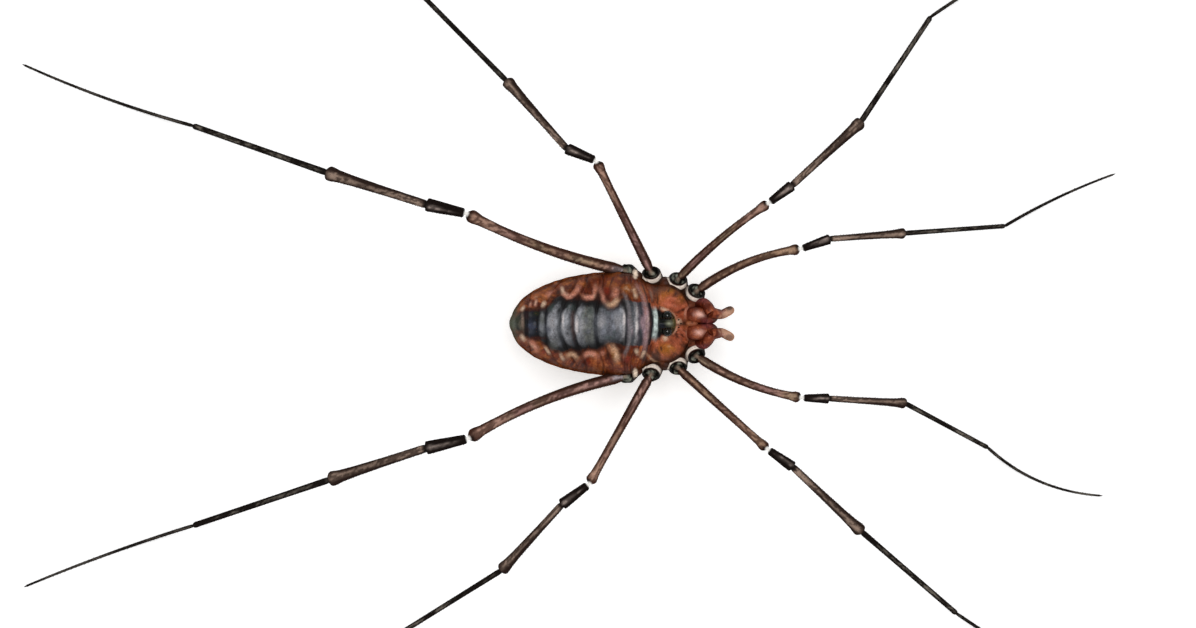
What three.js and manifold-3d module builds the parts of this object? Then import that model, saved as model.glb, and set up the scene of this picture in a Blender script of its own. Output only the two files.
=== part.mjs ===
// A female harvestman of the family Phalangiidae, standing still, at life size in millimetres.
// +X is the head end, +Y the animal's left side, +Z up. The feet stand on z = 0, and the origin
// lies on that level under the middle of the whole animal's box.
// Sizes along the body are measured from the middle of the body, which BODY_MIDDLE marks.

import * as THREE from 'three';
import { mergeVertices } from 'three/addons/utils/BufferGeometryUtils.js';
import Module from 'manifold-3d';

const wasm = await Module();
wasm.setup();

// Gaps between neighbours, in millimetres
const JOINT_GAP = 0.2;
const EYE_GAP = 0.08;
const WAIST_GAP = 0.2;

// Body: three outlines, each a size at its crown that dies away to both ends
const BODY_REAR = -4.0;
const BODY_FRONT = 4.1;
const BODY_LEVEL = 4.4;
const SIDE_OUTLINE = { crown: 1.0, size: 2.35, rear: [2.0, 2.2], front: [2.4, 2.4] };
const TOP_OUTLINE = { crown: -0.2, size: 2.3, rear: [2.0, 2.2], front: [1.9, 1.7] };
const BELLY_OUTLINE = { crown: -0.8, size: 1.8, rear: [2.0, 2.1], front: [2.6, 2.2] };
const SECTION_POWER = 2.15;

// The sides draw in above the hips: where, how far along the body and by what share
const HIP_BAY = { x: 2.4, width: 0.75, depth: 0.2 };
const WAIST_X = 1.0;
const BODY_SIDES = 28;

// Seams between the rings of the body, as x, and how deep and wide each seam is
const ABDOMEN_SEAMS = [-3.28, -2.48, -1.76, -1.19, -0.2];
const THORAX_SEAMS = [1.75, 2.12, 2.46];
const SEAM_DEPTH = 0.07;
const SEAM_WIDTH = 0.09;
const REAR_CAP_RINGS = 7;
const FRONT_CAP_RINGS = 8;
const ANAL_PLATE = { at: [-3.72, 0, 4.1], half: [0.36, 0.5, 0.42] };

// Eye tubercle with its two crests of denticles, and the eyes on its sides
const OCULARIUM = { x: 2.98, half: [0.4, 0.5, 0.52], sunk: 0.12 };
const OCULARIUM_FURROW = { half: [0.62, 0.13, 0.2], above: 0.5 };
const CREST_Y = 0.23;
const CREST_DENTICLES = 5;
const DENTICLE = { length: 0.2, radius: 0.055, spread: 0.24 };
const EYE = { radius: 0.22, forward: 0.04, out: 0.36, above: 0.17 };

// Front margin: small spines in the middle of the carapace, ahead of the eye tubercle
const FRONT_SPINES = [[3.62, 0], [3.52, 0.17], [3.52, -0.17]];
const FRONT_SPINE = { length: 0.2, radius: 0.06 };

// Underside: genital plate between the coxae and the two lobes beside the mouth
const GENITAL_PLATE = { at: [2.38, 0, 2.92], half: [1.08, 0.42, 0.34] };
const MOUTH_LOBE = { at: [3.98, 0.26, 3.62], half: [0.34, 0.22, 0.3] };

// The flesh that fills the cleft between the second and third hips
const CLEFT_LOBE = { at: [2.92, 1.82, 4.22], half: [0.3, 0.3, 0.42] };

// Chelicera: a basal article that runs forward, then a hand that hangs down to two fingers
const CHELICERA_BASE = [[3.78, 0.36, 4.56], [4.2, 0.38, 4.72], [4.78, 0.38, 4.66]];
const CHELICERA_HAND = [[4.76, 0.38, 4.72], [5.1, 0.36, 4.1], [4.92, 0.32, 3.4]];
const FIXED_FINGER = [[4.92, 0.32, 3.5], [5.04, 0.3, 3.2], [4.96, 0.2, 2.86]];
const MOVING_FINGER = [[4.88, 0.32, 3.5], [4.76, 0.3, 3.2], [4.84, 0.2, 2.88]];
const CHELICERA_RADIUS = 0.3;
const FINGER_RADIUS = 0.13;

// Pedipalp: joints from the mouth out to the claw
const PALP_JOINTS = {
  root: [4.34, 0.9, 3.96],
  femur: [4.76, 0.95, 5.04],
  patella: [5.0, 0.5, 5.44],
  tibia: [5.48, 0.4, 4.97],
  tarsus: [5.92, 0.6, 3.86],
};
const PALP_RADIUS = 0.19;

// Legs: plain sizes shared by all, then one entry for each pair.
// heights are those of the hip, knee, patella end, tibia end and metatarsus end. Each side has
// its own headings, from straight ahead towards that side, and its reaches seen from above.
const SEGMENTS = ['femur', 'patella', 'tibia', 'metatarsus', 'tarsus'];
const TROCHANTER_RADIUS = 0.36;
const LEG_SIDES = 8;
const RING_STEP = 1.3;
const FEMUR_ARCH = 0.3;
const FOOT_SINK = 0.7;
const TARSUS_RINGS = 12;
const LEG_PAIRS = [
  {
    hip: [4.34, 1.46],
    coxa: [3.72, 0.42, 3.5],
    heights: [4.3, 8.2, 7.9, 4.9, 1.3],
    left: { headings: [22.1, 19, 4.4, 4.2, 25.4], reaches: [5.03, 1.38, 3.37, 4.59, 5.41], bows: [0.34, 0.13] },
    right: { headings: [21.6, 1.4, 3.7, 28.1, 23.2], reaches: [5.06, 1.22, 3.45, 4.27, 5.52], bows: [0.29, 0.48] },
  },
  {
    hip: [3.51, 2.0],
    coxa: [3.2, 0.52, 3.2],
    heights: [4.3, 9.6, 9.3, 5.7, 1.4],
    left: { headings: [40.1, 37, 42.6, 56.2, 27.5], reaches: [5.29, 1.3, 4.22, 5.74, 10.4], bows: [0.16, 0.35] },
    right: { headings: [42.2, 35, 43.2, 40.8, 30], reaches: [5.4, 1.37, 4.23, 5.74, 10.4], bows: [0, 0.2] },
  },
  {
    hip: [2.3, 2.28],
    coxa: [2.62, 0.6, 3.05],
    heights: [4.3, 8.2, 7.9, 4.8, 1.3],
    left: { headings: [116.3, 157.4, 131.4, 134.5, 143], reaches: [5.59, 1.43, 4.06, 5.85, 7], bows: [0, -0.3] },
    right: { headings: [119.6, 142.9, 132.3, 147.9, 144], reaches: [5.66, 1.52, 3.99, 5.85, 7], bows: [0, 0.2] },
  },
  {
    hip: [1.15, 2.36],
    coxa: [2.22, 0.72, 3.05],
    heights: [4.3, 9.4, 9.0, 5.8, 1.4],
    left: { headings: [160.25, 167.3, 162.2, 160.6, 160.2], reaches: [7.595, 1.82, 4.68, 6.47, 8.09], bows: [0.27, 0.16] },
    right: { headings: [158.42, 167.1, 161.8, 161.3, 160.1], reaches: [7.584, 1.93, 4.55, 6.56, 8.03], bows: [0.33, 0.1] },
  },
];

// How thick each segment is, as pairs of share of its length and radius
const THICKNESS = {
  femur: [[0, 0.2], [0.03, 0.27], [0.2, 0.25], [0.84, 0.25], [0.95, 0.29], [0.985, 0.28], [1, 0.2]],
  patella: [[0, 0.19], [0.05, 0.25], [0.35, 0.28], [0.8, 0.28], [0.95, 0.26], [1, 0.19]],
  tibia: [[0, 0.18], [0.03, 0.25], [0.6, 0.26], [0.86, 0.3], [0.96, 0.33], [0.99, 0.3], [1, 0.21]],
  metatarsus: [[0, 0.2], [0.02, 0.26], [0.5, 0.25], [0.96, 0.25], [1, 0.2]],
  tarsus: [[0, 0.2], [0.02, 0.24], [0.4, 0.22], [0.8, 0.17], [0.97, 0.12], [1, 0.07]],
};

const COLOURS = {
  carapace: { color: 0x8f4424, roughness: 0.5 },
  abdomen: { color: 0x7a3520, roughness: 0.5 },
  eye: { color: 0x0b0d0a, roughness: 0.12 },
  mouthpart: { color: 0x97452a, roughness: 0.45 },
  trochanter: { color: 0x1d1f1c, roughness: 0.35 },
  femur: { color: 0x6b4234, roughness: 0.5 },
  patella: { color: 0x241c19, roughness: 0.45 },
  tibia: { color: 0x5c3f33, roughness: 0.5 },
  metatarsus: { color: 0x2c211d, roughness: 0.5 },
  tarsus: { color: 0x3a3432, roughness: 0.55 },
};

const UP = new THREE.Vector3(0, 0, 1);
const AHEAD = new THREE.Vector3(1, 0, 0);
const vector = (point, side = 1) => new THREE.Vector3(point[0], point[1] * side, point[2]);
const padded = (stops, extra) => stops.map(([share, radius]) => [share, radius + extra]);

// A closed geometry with shared vertices and its faces turned outward
function closed(geometry) {
  geometry.deleteAttribute('normal');
  geometry.deleteAttribute('uv');
  const merged = mergeVertices(geometry, 1e-5);
  const corners = merged.index.array;
  const at = merged.attributes.position;
  const [a, b, c] = [new THREE.Vector3(), new THREE.Vector3(), new THREE.Vector3()];
  const kept = [];
  let volume = 0;
  for (let i = 0; i < corners.length; i += 3) {
    const [p, q, r] = [corners[i], corners[i + 1], corners[i + 2]];
    if (p === q || q === r || r === p) continue;
    kept.push(p, q, r);
    a.fromBufferAttribute(at, p);
    b.fromBufferAttribute(at, q);
    c.fromBufferAttribute(at, r);
    volume += a.dot(b.cross(c));
  }
  merged.setIndex(volume < 0 ? kept.reverse() : kept);
  return merged;
}

function toManifold(geometry) {
  const mesh = new wasm.Mesh({
    numProp: 3,
    vertProperties: new Float32Array(geometry.attributes.position.array),
    triVerts: new Uint32Array(geometry.index.array),
  });
  mesh.merge();
  return new wasm.Manifold(mesh);
}

// Joins all the solids, takes the cutters away and keeps the largest closed surface
function fused(solids, cutters = []) {
  let body = toManifold(solids[0]);
  for (const solid of solids.slice(1)) body = body.add(toManifold(solid));
  for (const cutter of cutters) body = body.subtract(toManifold(cutter));
  const largest = body.decompose().sort((p, q) => q.volume() - p.volume())[0];
  const mesh = largest.getMesh();
  const geometry = new THREE.BufferGeometry();
  const corners = mesh.vertProperties;
  const stride = mesh.numProp;
  const positions = new Float32Array((corners.length / stride) * 3);
  for (let i = 0; i < positions.length / 3; i += 1) {
    positions.set(corners.subarray(i * stride, i * stride + 3), i * 3);
  }
  geometry.setAttribute('position', new THREE.BufferAttribute(positions, 3));
  geometry.setIndex(Array.from(mesh.triVerts));
  return geometry;
}

// A turned profile laid along a curve. stops are pairs of share of the length and radius, and
// flat squeezes the section across its own side direction.
function sweep(curve, stops, { sides = LEG_SIDES, step = RING_STEP, up = UP, flat = 1 } = {}) {
  const length = curve.getLength();
  const profile = [new THREE.Vector2(0, stops[0][0] * length)];
  stops.forEach(([share, radius], i) => {
    if (i > 0) {
      const [lastShare, lastRadius] = stops[i - 1];
      const pieces = Math.ceil(((share - lastShare) * length) / step);
      for (let k = 1; k < pieces; k += 1) {
        const part = k / pieces;
        const between = THREE.MathUtils.lerp(lastRadius, radius, part);
        profile.push(new THREE.Vector2(between, THREE.MathUtils.lerp(lastShare, share, part) * length));
      }
    }
    profile.push(new THREE.Vector2(radius, share * length));
  });
  profile.push(new THREE.Vector2(0, stops.at(-1)[0] * length));
  const geometry = new THREE.LatheGeometry(profile, sides);
  const at = geometry.attributes.position;
  for (let i = 0; i < at.count; i += 1) {
    const share = THREE.MathUtils.clamp(at.getY(i) / length, 0, 1);
    const tangent = curve.getTangentAt(share);
    const across = new THREE.Vector3().crossVectors(tangent, up).normalize();
    const lift = new THREE.Vector3().crossVectors(across, tangent);
    const point = curve.getPointAt(share);
    point.addScaledVector(across, at.getX(i) * flat);
    point.addScaledVector(lift, at.getZ(i));
    at.setXYZ(i, point.x, point.y, point.z);
  }
  return closed(geometry);
}

function ball(centre, half, sides = 12, rings = 8) {
  const geometry = new THREE.SphereGeometry(1, sides, rings);
  geometry.scale(...half);
  geometry.translate(centre.x, centre.y, centre.z);
  return closed(geometry);
}

function spine(root, direction, length, radius) {
  const foot = root.clone().addScaledVector(direction, -length * 0.4);
  const tip = root.clone().addScaledVector(direction, length);
  const line = new THREE.LineCurve3(foot, tip);
  return sweep(line, [[0, radius], [0.35, radius], [1, radius * 0.2]], { sides: 5, up: AHEAD });
}

// Body surface
function outline(x, { crown, size, rear, front }) {
  const [p, q] = x < crown ? rear : front;
  const end = x < crown ? BODY_REAR : BODY_FRONT;
  const share = Math.min(Math.abs((x - crown) / (end - crown)), 1);
  return size * (1 - share ** p) ** (1 / q);
}

function halfWidth(x) {
  const bay = Math.exp(-(((x - HIP_BAY.x) / HIP_BAY.width) ** 2));
  return outline(x, SIDE_OUTLINE) * (1 - HIP_BAY.depth * bay);
}

function seamFactor(x) {
  const depths = [...ABDOMEN_SEAMS, ...THORAX_SEAMS].map(
    (seam) => SEAM_DEPTH * Math.exp(-(((x - seam) / SEAM_WIDTH) ** 2)),
  );
  return 1 - Math.max(...depths) / SIDE_OUTLINE.size;
}

function bodyPoint(x, sine, cosine, share = 1) {
  const rounded = (value) => Math.sign(value) * Math.abs(value) ** (2 / SECTION_POWER);
  const height = outline(x, cosine > 0 ? TOP_OUTLINE : BELLY_OUTLINE);
  const factor = seamFactor(x) * share;
  return new THREE.Vector3(
    x,
    halfWidth(x) * rounded(sine) * factor,
    BODY_LEVEL + height * rounded(cosine) * factor,
  );
}

const backHeight = (x, y) => {
  const rise = (1 - Math.min(Math.abs(y / halfWidth(x)), 1) ** SECTION_POWER) ** (1 / SECTION_POWER);
  return BODY_LEVEL + outline(x, TOP_OUTLINE) * rise;
};

function bodyLoft(stations) {
  const profile = [new THREE.Vector2(0, stations[0])];
  stations.forEach((x) => profile.push(new THREE.Vector2(1, x)));
  profile.push(new THREE.Vector2(0, stations.at(-1)));
  const geometry = new THREE.LatheGeometry(profile, BODY_SIDES);
  const at = geometry.attributes.position;
  for (let i = 0; i < at.count; i += 1) {
    const share = Math.hypot(at.getX(i), at.getZ(i));
    const angle = Math.atan2(at.getX(i), at.getZ(i));
    const point = bodyPoint(at.getY(i), Math.sin(angle), Math.cos(angle), share);
    at.setXYZ(i, point.x, point.y, point.z);
  }
  return closed(geometry);
}

// Rings at each seam, on both its edges and half way to the next one
function seamStations(from, to, seams) {
  const marks = [from];
  for (const seam of seams) marks.push(seam - SEAM_WIDTH * 1.6, seam, seam + SEAM_WIDTH * 1.6);
  marks.push(to);
  const stations = [];
  marks.forEach((mark, i) => {
    if (i > 0 && mark - marks[i - 1] > 0.3) stations.push((mark + marks[i - 1]) / 2);
    stations.push(mark);
  });
  return stations;
}

// Rings that close up towards an end of the body, from open to end
function capStations(open, end, count) {
  const stations = [];
  for (let k = 0; k < count; k += 1) {
    const turn = ((count - k) / count) * (Math.PI / 2);
    stations.push(end + (open - end) * (1 - Math.cos(turn)));
  }
  return stations;
}

const group = new THREE.Group();
group.name = 'harvestman';

function addNode(name, geometry, look) {
  const mesh = new THREE.Mesh(geometry, new THREE.MeshStandardMaterial({ ...COLOURS[look], metalness: 0 }));
  mesh.name = name;
  group.add(mesh);
}

// Hips: each socket is open outward and upward, so that the trochanter shows from above
const hipPoint = (pair, side) => vector([...pair.hip, pair.heights[0]], side);

function hipSocket(pair, side) {
  const hip = hipPoint(pair, side);
  const radius = TROCHANTER_RADIUS + JOINT_GAP;
  const lean = new THREE.Vector3(0, side * 0.5, 1).normalize();
  const axis = new THREE.LineCurve3(
    hip.clone().addScaledVector(lean, -radius),
    hip.clone().addScaledVector(lean, radius * 4),
  );
  const stops = [[0, radius * 0.25], [0.04, radius * 0.62], [0.1, radius * 0.87], [0.2, radius], [1, radius * 1.1]];
  return sweep(axis, stops, { sides: 12, step: 9, up: AHEAD });
}

function coxa(pair, side) {
  const hip = hipPoint(pair, side);
  const base = vector(pair.coxa, side);
  const stops = [[0, 0.3], [0.15, 0.42], [0.55, 0.5], [0.9, 0.46], [1, 0.4]];
  const bend = base.clone().lerp(hip, 0.5);
  bend.z -= 0.3;
  return sweep(new THREE.QuadraticBezierCurve3(base, bend, hip), stops, { sides: 10, step: 0.9 });
}

// Chelicerae and pedipalps
const bezier = (points, side) => new THREE.QuadraticBezierCurve3(...points.map((point) => vector(point, side)));

function cheliceraPieces(side) {
  const wide = CHELICERA_RADIUS;
  const thin = FINGER_RADIUS;
  const base = [[0, wide * 0.7], [0.12, wide * 0.95], [0.6, wide * 1.05], [0.9, wide], [1, wide * 0.6]];
  const hand = [[0, wide * 0.5], [0.08, wide * 0.9], [0.3, wide * 1.1], [0.7, wide], [0.93, wide * 0.62], [1, wide * 0.3]];
  const finger = [[0, thin], [0.5, thin * 0.85], [1, thin * 0.3]];
  return [
    sweep(bezier(CHELICERA_BASE, side), base, { sides: 10, step: 0.3 }),
    sweep(bezier(CHELICERA_HAND, side), hand, { sides: 10, step: 0.35, up: AHEAD }),
    sweep(bezier(FIXED_FINGER, side), finger, { sides: 6, step: 0.25, up: AHEAD }),
    sweep(bezier(MOVING_FINGER, side), finger, { sides: 6, step: 0.25, up: AHEAD }),
  ];
}

function cheliceraRecess(side) {
  const wide = CHELICERA_RADIUS + JOINT_GAP;
  const stops = [[0, wide * 0.7], [0.12, wide], [0.9, wide], [1, wide * 0.9]];
  const [inner, middle, outer] = CHELICERA_BASE.map((point) => vector(point, side));
  inner.x -= JOINT_GAP;
  return sweep(new THREE.QuadraticBezierCurve3(inner, middle, outer), stops, { sides: 12, step: 0.4 });
}

function palpPieces(side) {
  const r = PALP_RADIUS;
  const joints = Object.fromEntries(Object.entries(PALP_JOINTS).map(([name, at]) => [name, vector(at, side)]));
  const article = (from, to, stops, arch) => {
    const middle = from.clone().lerp(to, 0.5);
    middle.z += arch;
    return sweep(new THREE.QuadraticBezierCurve3(from, middle, to), stops, { sides: 8, step: 0.35, up: AHEAD });
  };
  const claw = joints.tarsus.clone().add(new THREE.Vector3(0.08, 0, -0.2));
  return [
    ball(joints.root, [r * 1.15, r * 1.15, r * 1.15], 10, 7),
    article(joints.root, joints.femur, [[0, r * 0.8], [0.4, r * 0.95], [0.85, r * 1.1], [1, r * 0.8]], 0),
    article(joints.femur, joints.patella, [[0, r * 0.8], [0.3, r * 1.1], [0.75, r * 1.15], [1, r * 0.85]], 0.12),
    article(joints.patella, joints.tibia, [[0, r * 0.9], [0.3, r * 1.3], [0.75, r * 1.2], [1, r * 0.9]], 0.12),
    article(joints.tibia, joints.tarsus, [[0, r * 0.9], [0.2, r * 1.05], [0.7, r], [0.93, r * 0.85], [1, r * 0.45]], 0.25),
    sweep(new THREE.LineCurve3(joints.tarsus, claw), [[0, r * 0.35], [1, r * 0.08]], { sides: 5, up: AHEAD }),
  ];
}

function palpRecess(side) {
  const wide = PALP_RADIUS * 1.15 + JOINT_GAP;
  return ball(vector(PALP_JOINTS.root, side), [wide, wide, wide], 12, 8);
}

// Eye tubercle
const tubercleBase = backHeight(OCULARIUM.x, 0);
const eyeCentre = (side) => new THREE.Vector3(
  OCULARIUM.x + EYE.forward,
  EYE.out * side,
  tubercleBase + EYE.above,
);

function crestDenticles(side) {
  const pieces = [];
  for (let k = 0; k < CREST_DENTICLES; k += 1) {
    const turn = THREE.MathUtils.lerp(-1, 1, k / (CREST_DENTICLES - 1));
    const x = OCULARIUM.x + turn * DENTICLE.spread;
    const inside = 1 - (turn * DENTICLE.spread / OCULARIUM.half[0]) ** 2 - (CREST_Y / OCULARIUM.half[1]) ** 2;
    const z = tubercleBase - OCULARIUM.sunk + OCULARIUM.half[2] * Math.sqrt(inside);
    const lean = new THREE.Vector3(turn * 0.5, side * 0.35, 1).normalize();
    pieces.push(spine(new THREE.Vector3(x, CREST_Y * side, z), lean, DENTICLE.length, DENTICLE.radius));
  }
  return pieces;
}

function buildBody() {
  const waistFront = WAIST_X + WAIST_GAP / 2;
  const waistRear = WAIST_X - WAIST_GAP / 2;
  const firstSeam = ABDOMEN_SEAMS[0] - SEAM_WIDTH * 2.4;
  const lastSeam = THORAX_SEAMS.at(-1) + SEAM_WIDTH * 2.4;
  const abdomen = bodyLoft([
    ...capStations(firstSeam, BODY_REAR, REAR_CAP_RINGS).reverse(),
    ...seamStations(firstSeam, waistRear, ABDOMEN_SEAMS).slice(1),
  ].sort((p, q) => p - q));
  const thorax = bodyLoft([
    ...seamStations(waistFront, lastSeam, THORAX_SEAMS),
    ...capStations(lastSeam, BODY_FRONT, FRONT_CAP_RINGS).slice(1),
  ].sort((p, q) => p - q));
  const tubercle = new THREE.Vector3(OCULARIUM.x, 0, tubercleBase - OCULARIUM.sunk);
  const furrow = tubercle.clone();
  furrow.z += OCULARIUM_FURROW.above;
  const anal = ball(vector(ANAL_PLATE.at), ANAL_PLATE.half, 12, 8);
  const rearSockets = [1, -1].map((side) => hipSocket(LEG_PAIRS[3], side));
  addNode('opisthosoma', fused([abdomen, anal], rearSockets), 'abdomen');

  const fleshOnHead = [ball(tubercle, OCULARIUM.half, 16, 10), ball(vector(GENITAL_PLATE.at), GENITAL_PLATE.half)];
  const cutsInHead = [ball(furrow, OCULARIUM_FURROW.half, 10, 8)];
  const spikes = FRONT_SPINES.map(([x, y]) => (
    spine(new THREE.Vector3(x, y, backHeight(x, y)), new THREE.Vector3(0.5, 0, 1).normalize(), FRONT_SPINE.length, FRONT_SPINE.radius)
  ));
  for (const side of [1, -1]) {
    fleshOnHead.push(ball(vector(MOUTH_LOBE.at, side), MOUTH_LOBE.half, 10, 7));
    fleshOnHead.push(ball(vector(CLEFT_LOBE.at, side), CLEFT_LOBE.half, 10, 7));
    cutsInHead.push(cheliceraRecess(side), palpRecess(side));
    const eyeSocket = EYE.radius + EYE_GAP;
    cutsInHead.push(ball(eyeCentre(side), [eyeSocket, eyeSocket, eyeSocket], 12, 8));
    spikes.push(...crestDenticles(side));
    for (const pair of LEG_PAIRS) {
      fleshOnHead.push(coxa(pair, side));
      cutsInHead.push(hipSocket(pair, side));
    }
  }
  addNode('prosoma', fused([thorax, ...fleshOnHead, ...spikes], cutsInHead), 'carapace');
}

function buildHead(side, word) {
  addNode(`eye_${word}`, ball(eyeCentre(side), [EYE.radius, EYE.radius, EYE.radius], 12, 9), 'eye');
  addNode(`chelicera_${word}`, fused(cheliceraPieces(side)), 'mouthpart');
  addNode(`pedipalp_${word}`, fused(palpPieces(side)), 'mouthpart');
}

// Legs
function legJoints(pair, pose, side) {
  const joints = [hipPoint(pair, side)];
  SEGMENTS.slice(0, -1).forEach((segment, i) => {
    const heading = THREE.MathUtils.degToRad(pose.headings[i]);
    const last = joints[i];
    joints.push(new THREE.Vector3(
      last.x + pose.reaches[i] * Math.cos(heading),
      last.y + pose.reaches[i] * Math.sin(heading) * side,
      pair.heights[i + 1],
    ));
  });
  return joints;
}

// A segment between two joints, drawn back from each and bowed sideways and upward
function segmentCurve(from, to, startGap, endGap, bow, arch) {
  const along = to.clone().sub(from).normalize();
  const start = from.clone().addScaledVector(along, startGap);
  const end = to.clone().addScaledVector(along, -endGap);
  const across = new THREE.Vector3().crossVectors(UP, along).normalize();
  const middle = start.clone().lerp(end, 0.5).addScaledVector(across, bow * 2);
  middle.z += arch * 2;
  return new THREE.QuadraticBezierCurve3(start, middle, end);
}

// The last segment leaves the metatarsus at its slope, comes down to the floor and lies on it
function tarsusCurve(joints, pair, pose, side) {
  const from = joints.at(-1);
  const lastReach = pose.reaches[3];
  const slope = (joints.at(-2).z - from.z) / lastReach;
  const heading = THREE.MathUtils.degToRad(pose.headings[4]);
  const reach = pose.reaches[4];
  const landing = (2 * from.z) / slope;
  const points = [];
  for (let k = 0; k <= TARSUS_RINGS; k += 1) {
    const share = k / TARSUS_RINGS;
    const run = JOINT_GAP / 2 + share * (reach - JOINT_GAP / 2);
    const aside = 4 * pose.bows[1] * share * (1 - share);
    const rest = FOOT_SINK * tarsusRadius(share);
    const fall = Math.max(1 - run / landing, 0) ** 2;
    points.push(new THREE.Vector3(
      from.x + run * Math.cos(heading) - aside * Math.sin(heading),
      from.y + (run * Math.sin(heading) + aside * Math.cos(heading)) * side,
      rest + (from.z - rest) * fall,
    ));
  }
  return new THREE.CatmullRomCurve3(points);
}

function tarsusRadius(share) {
  const stops = THICKNESS.tarsus;
  const next = stops.findIndex(([at]) => at >= share);
  if (next < 1) return stops[0][1];
  const [[shareA, radiusA], [shareB, radiusB]] = [stops[next - 1], stops[next]];
  return THREE.MathUtils.mapLinear(share, shareA, shareB, radiusA, radiusB);
}

function flattenFoot(geometry) {
  const at = geometry.attributes.position;
  for (let i = 0; i < at.count; i += 1) {
    at.setZ(i, Math.max(at.getZ(i), 0));
  }
  return closed(geometry);
}

function buildLeg(pair, number, side, word) {
  const pose = pair[word];
  const joints = legJoints(pair, pose, side);
  const name = (segment) => `leg${number}_${word}_${segment}`;
  const halfGap = JOINT_GAP / 2;
  const round = TROCHANTER_RADIUS;
  addNode(name('trochanter'), ball(joints[0], [round, round, round], 10, 7), 'trochanter');
  SEGMENTS.slice(0, -1).forEach((segment, i) => {
    const isFemur = segment === 'femur';
    const startGap = isFemur ? round + JOINT_GAP : halfGap;
    const bow = isFemur ? pose.bows[0] * side : 0;
    const arch = isFemur ? FEMUR_ARCH : 0;
    const curve = segmentCurve(joints[i], joints[i + 1], startGap, halfGap, bow, arch);
    addNode(name(segment), sweep(curve, THICKNESS[segment]), segment);
  });
  const foot = sweep(tarsusCurve(joints, pair, pose, side), THICKNESS.tarsus, { step: 1.1 });
  addNode(name('tarsus'), flattenFoot(foot), 'tarsus');
}

buildBody();
for (const [side, word] of [[1, 'left'], [-1, 'right']]) {
  buildHead(side, word);
  LEG_PAIRS.forEach((pair, i) => buildLeg(pair, i + 1, side, word));
}

// The origin goes under the middle of the whole animal's box
const box = new THREE.Box3().setFromObject(group);
const middle = box.getCenter(new THREE.Vector3());
group.position.set(-middle.x, -middle.y, -box.min.z);

export default group;
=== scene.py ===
import math

import bpy
import numpy as np
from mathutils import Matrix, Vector


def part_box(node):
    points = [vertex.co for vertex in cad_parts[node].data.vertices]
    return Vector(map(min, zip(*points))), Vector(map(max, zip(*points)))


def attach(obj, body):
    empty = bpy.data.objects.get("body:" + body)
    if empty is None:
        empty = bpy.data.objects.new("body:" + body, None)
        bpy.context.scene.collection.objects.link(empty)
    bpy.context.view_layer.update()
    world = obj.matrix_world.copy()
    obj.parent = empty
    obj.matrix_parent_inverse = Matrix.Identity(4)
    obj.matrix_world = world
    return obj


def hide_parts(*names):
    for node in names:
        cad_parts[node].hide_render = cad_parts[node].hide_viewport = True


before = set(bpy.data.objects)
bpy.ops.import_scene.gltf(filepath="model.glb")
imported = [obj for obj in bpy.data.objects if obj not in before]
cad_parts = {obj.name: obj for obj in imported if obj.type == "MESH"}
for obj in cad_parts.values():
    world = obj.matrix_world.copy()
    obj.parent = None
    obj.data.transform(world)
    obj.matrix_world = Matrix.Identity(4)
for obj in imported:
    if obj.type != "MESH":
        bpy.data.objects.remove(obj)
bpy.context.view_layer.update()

# A female harvestman, seen exactly from above. Sizes below are in millimetres in the animal's own
# frame: +X is the head end, +Y its left side, +Z up, and x = 0 is the middle of the body. The
# frame's pieces say where that point lies, and every mesh is moved there in metres.

MM = 0.001
RANDOM = np.random.default_rng(7)
SIDES = ((1, "left"), (-1, "right"))

# Camera and light, in metres where the name doesn't say millimetres
PICTURE_WIDTH_MM = 53.82
PICTURE_CENTRE_MM = (-0.09, 0.43)
SHARP_LEVEL_MM = 3.0
LENS_MM = 800.0
SENSOR_MM = 36.0
LAMP_PLACE = (0.06, 0.12, 1.6)
LAMP_SIZE = 0.9
LAMP_WATTS = 15.0
WORLD_STRENGTH = 0.36
FLOOR_HALF = 3.0
FLOOR_GLOW = 0.36

# Body outlines: size at the crown, dying away to the rear and to the front
BODY_REAR = -4.0
BODY_FRONT = 4.1
BODY_LEVEL = 4.4
BODY_HALF = (4.0, 2.3)
SIDE_OUTLINE = {"crown": 1.0, "size": 2.35, "rear": (2.0, 2.2), "front": (2.4, 2.4)}
TOP_OUTLINE = {"crown": -0.2, "size": 2.3, "rear": (2.0, 2.2), "front": (1.9, 1.7)}
BELLY_OUTLINE = {"crown": -0.8, "size": 1.8, "rear": (2.0, 2.1), "front": (2.6, 2.2)}
SECTION_POWER = 2.15
HIP_BAY = {"x": 2.4, "width": 0.75, "depth": 0.2}
SKIN_VOXEL = 0.032
ABDOMEN_SEAMS = (-3.28, -2.48, -1.76, -1.19, -0.2, 1.18)
THORAX_SEAMS = (1.75, 2.12, 2.46)
SEAM_DEPTH = 0.036
SEAM_WIDTH = 0.05
BELLY_SHIFT = 0.15

# Eye tubercle, eyes and the plates and lobes of the underside
OCULARIUM = {"x": 2.98, "half": (0.4, 0.5, 0.52), "sunk": 0.12}
EYE = {"radius": 0.22, "x": 3.02, "out": 0.36, "above": 0.17}
CREST_Y = 0.23
CREST_HALF_LENGTH = 0.3
LOOSE_POINTS = 46
DENTICLES_A_ROW = 7
FRONT_SPINES = ((3.62, 0), (3.52, 0.17), (3.52, -0.17), (3.44, 0.36), (3.44, -0.36))
GENITAL_PLATE = {"at": (2.38, 0, 2.92), "half": (1.08, 0.42, 0.34)}
ANAL_PLATE = {"at": (-3.72, 0, 4.1), "half": (0.36, 0.5, 0.42)}
MOUTH_LOBE = {"at": (3.98, 0.26, 3.62), "half": (0.34, 0.22, 0.3)}
LABRUM = {"at": (4.38, 0, 3.95), "half": (0.5, 0.16, 0.3)}
MEDIAN_LOBE = {"at": (4.0, 0, 4.84), "half": (0.4, 0.13, 0.17)}
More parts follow.
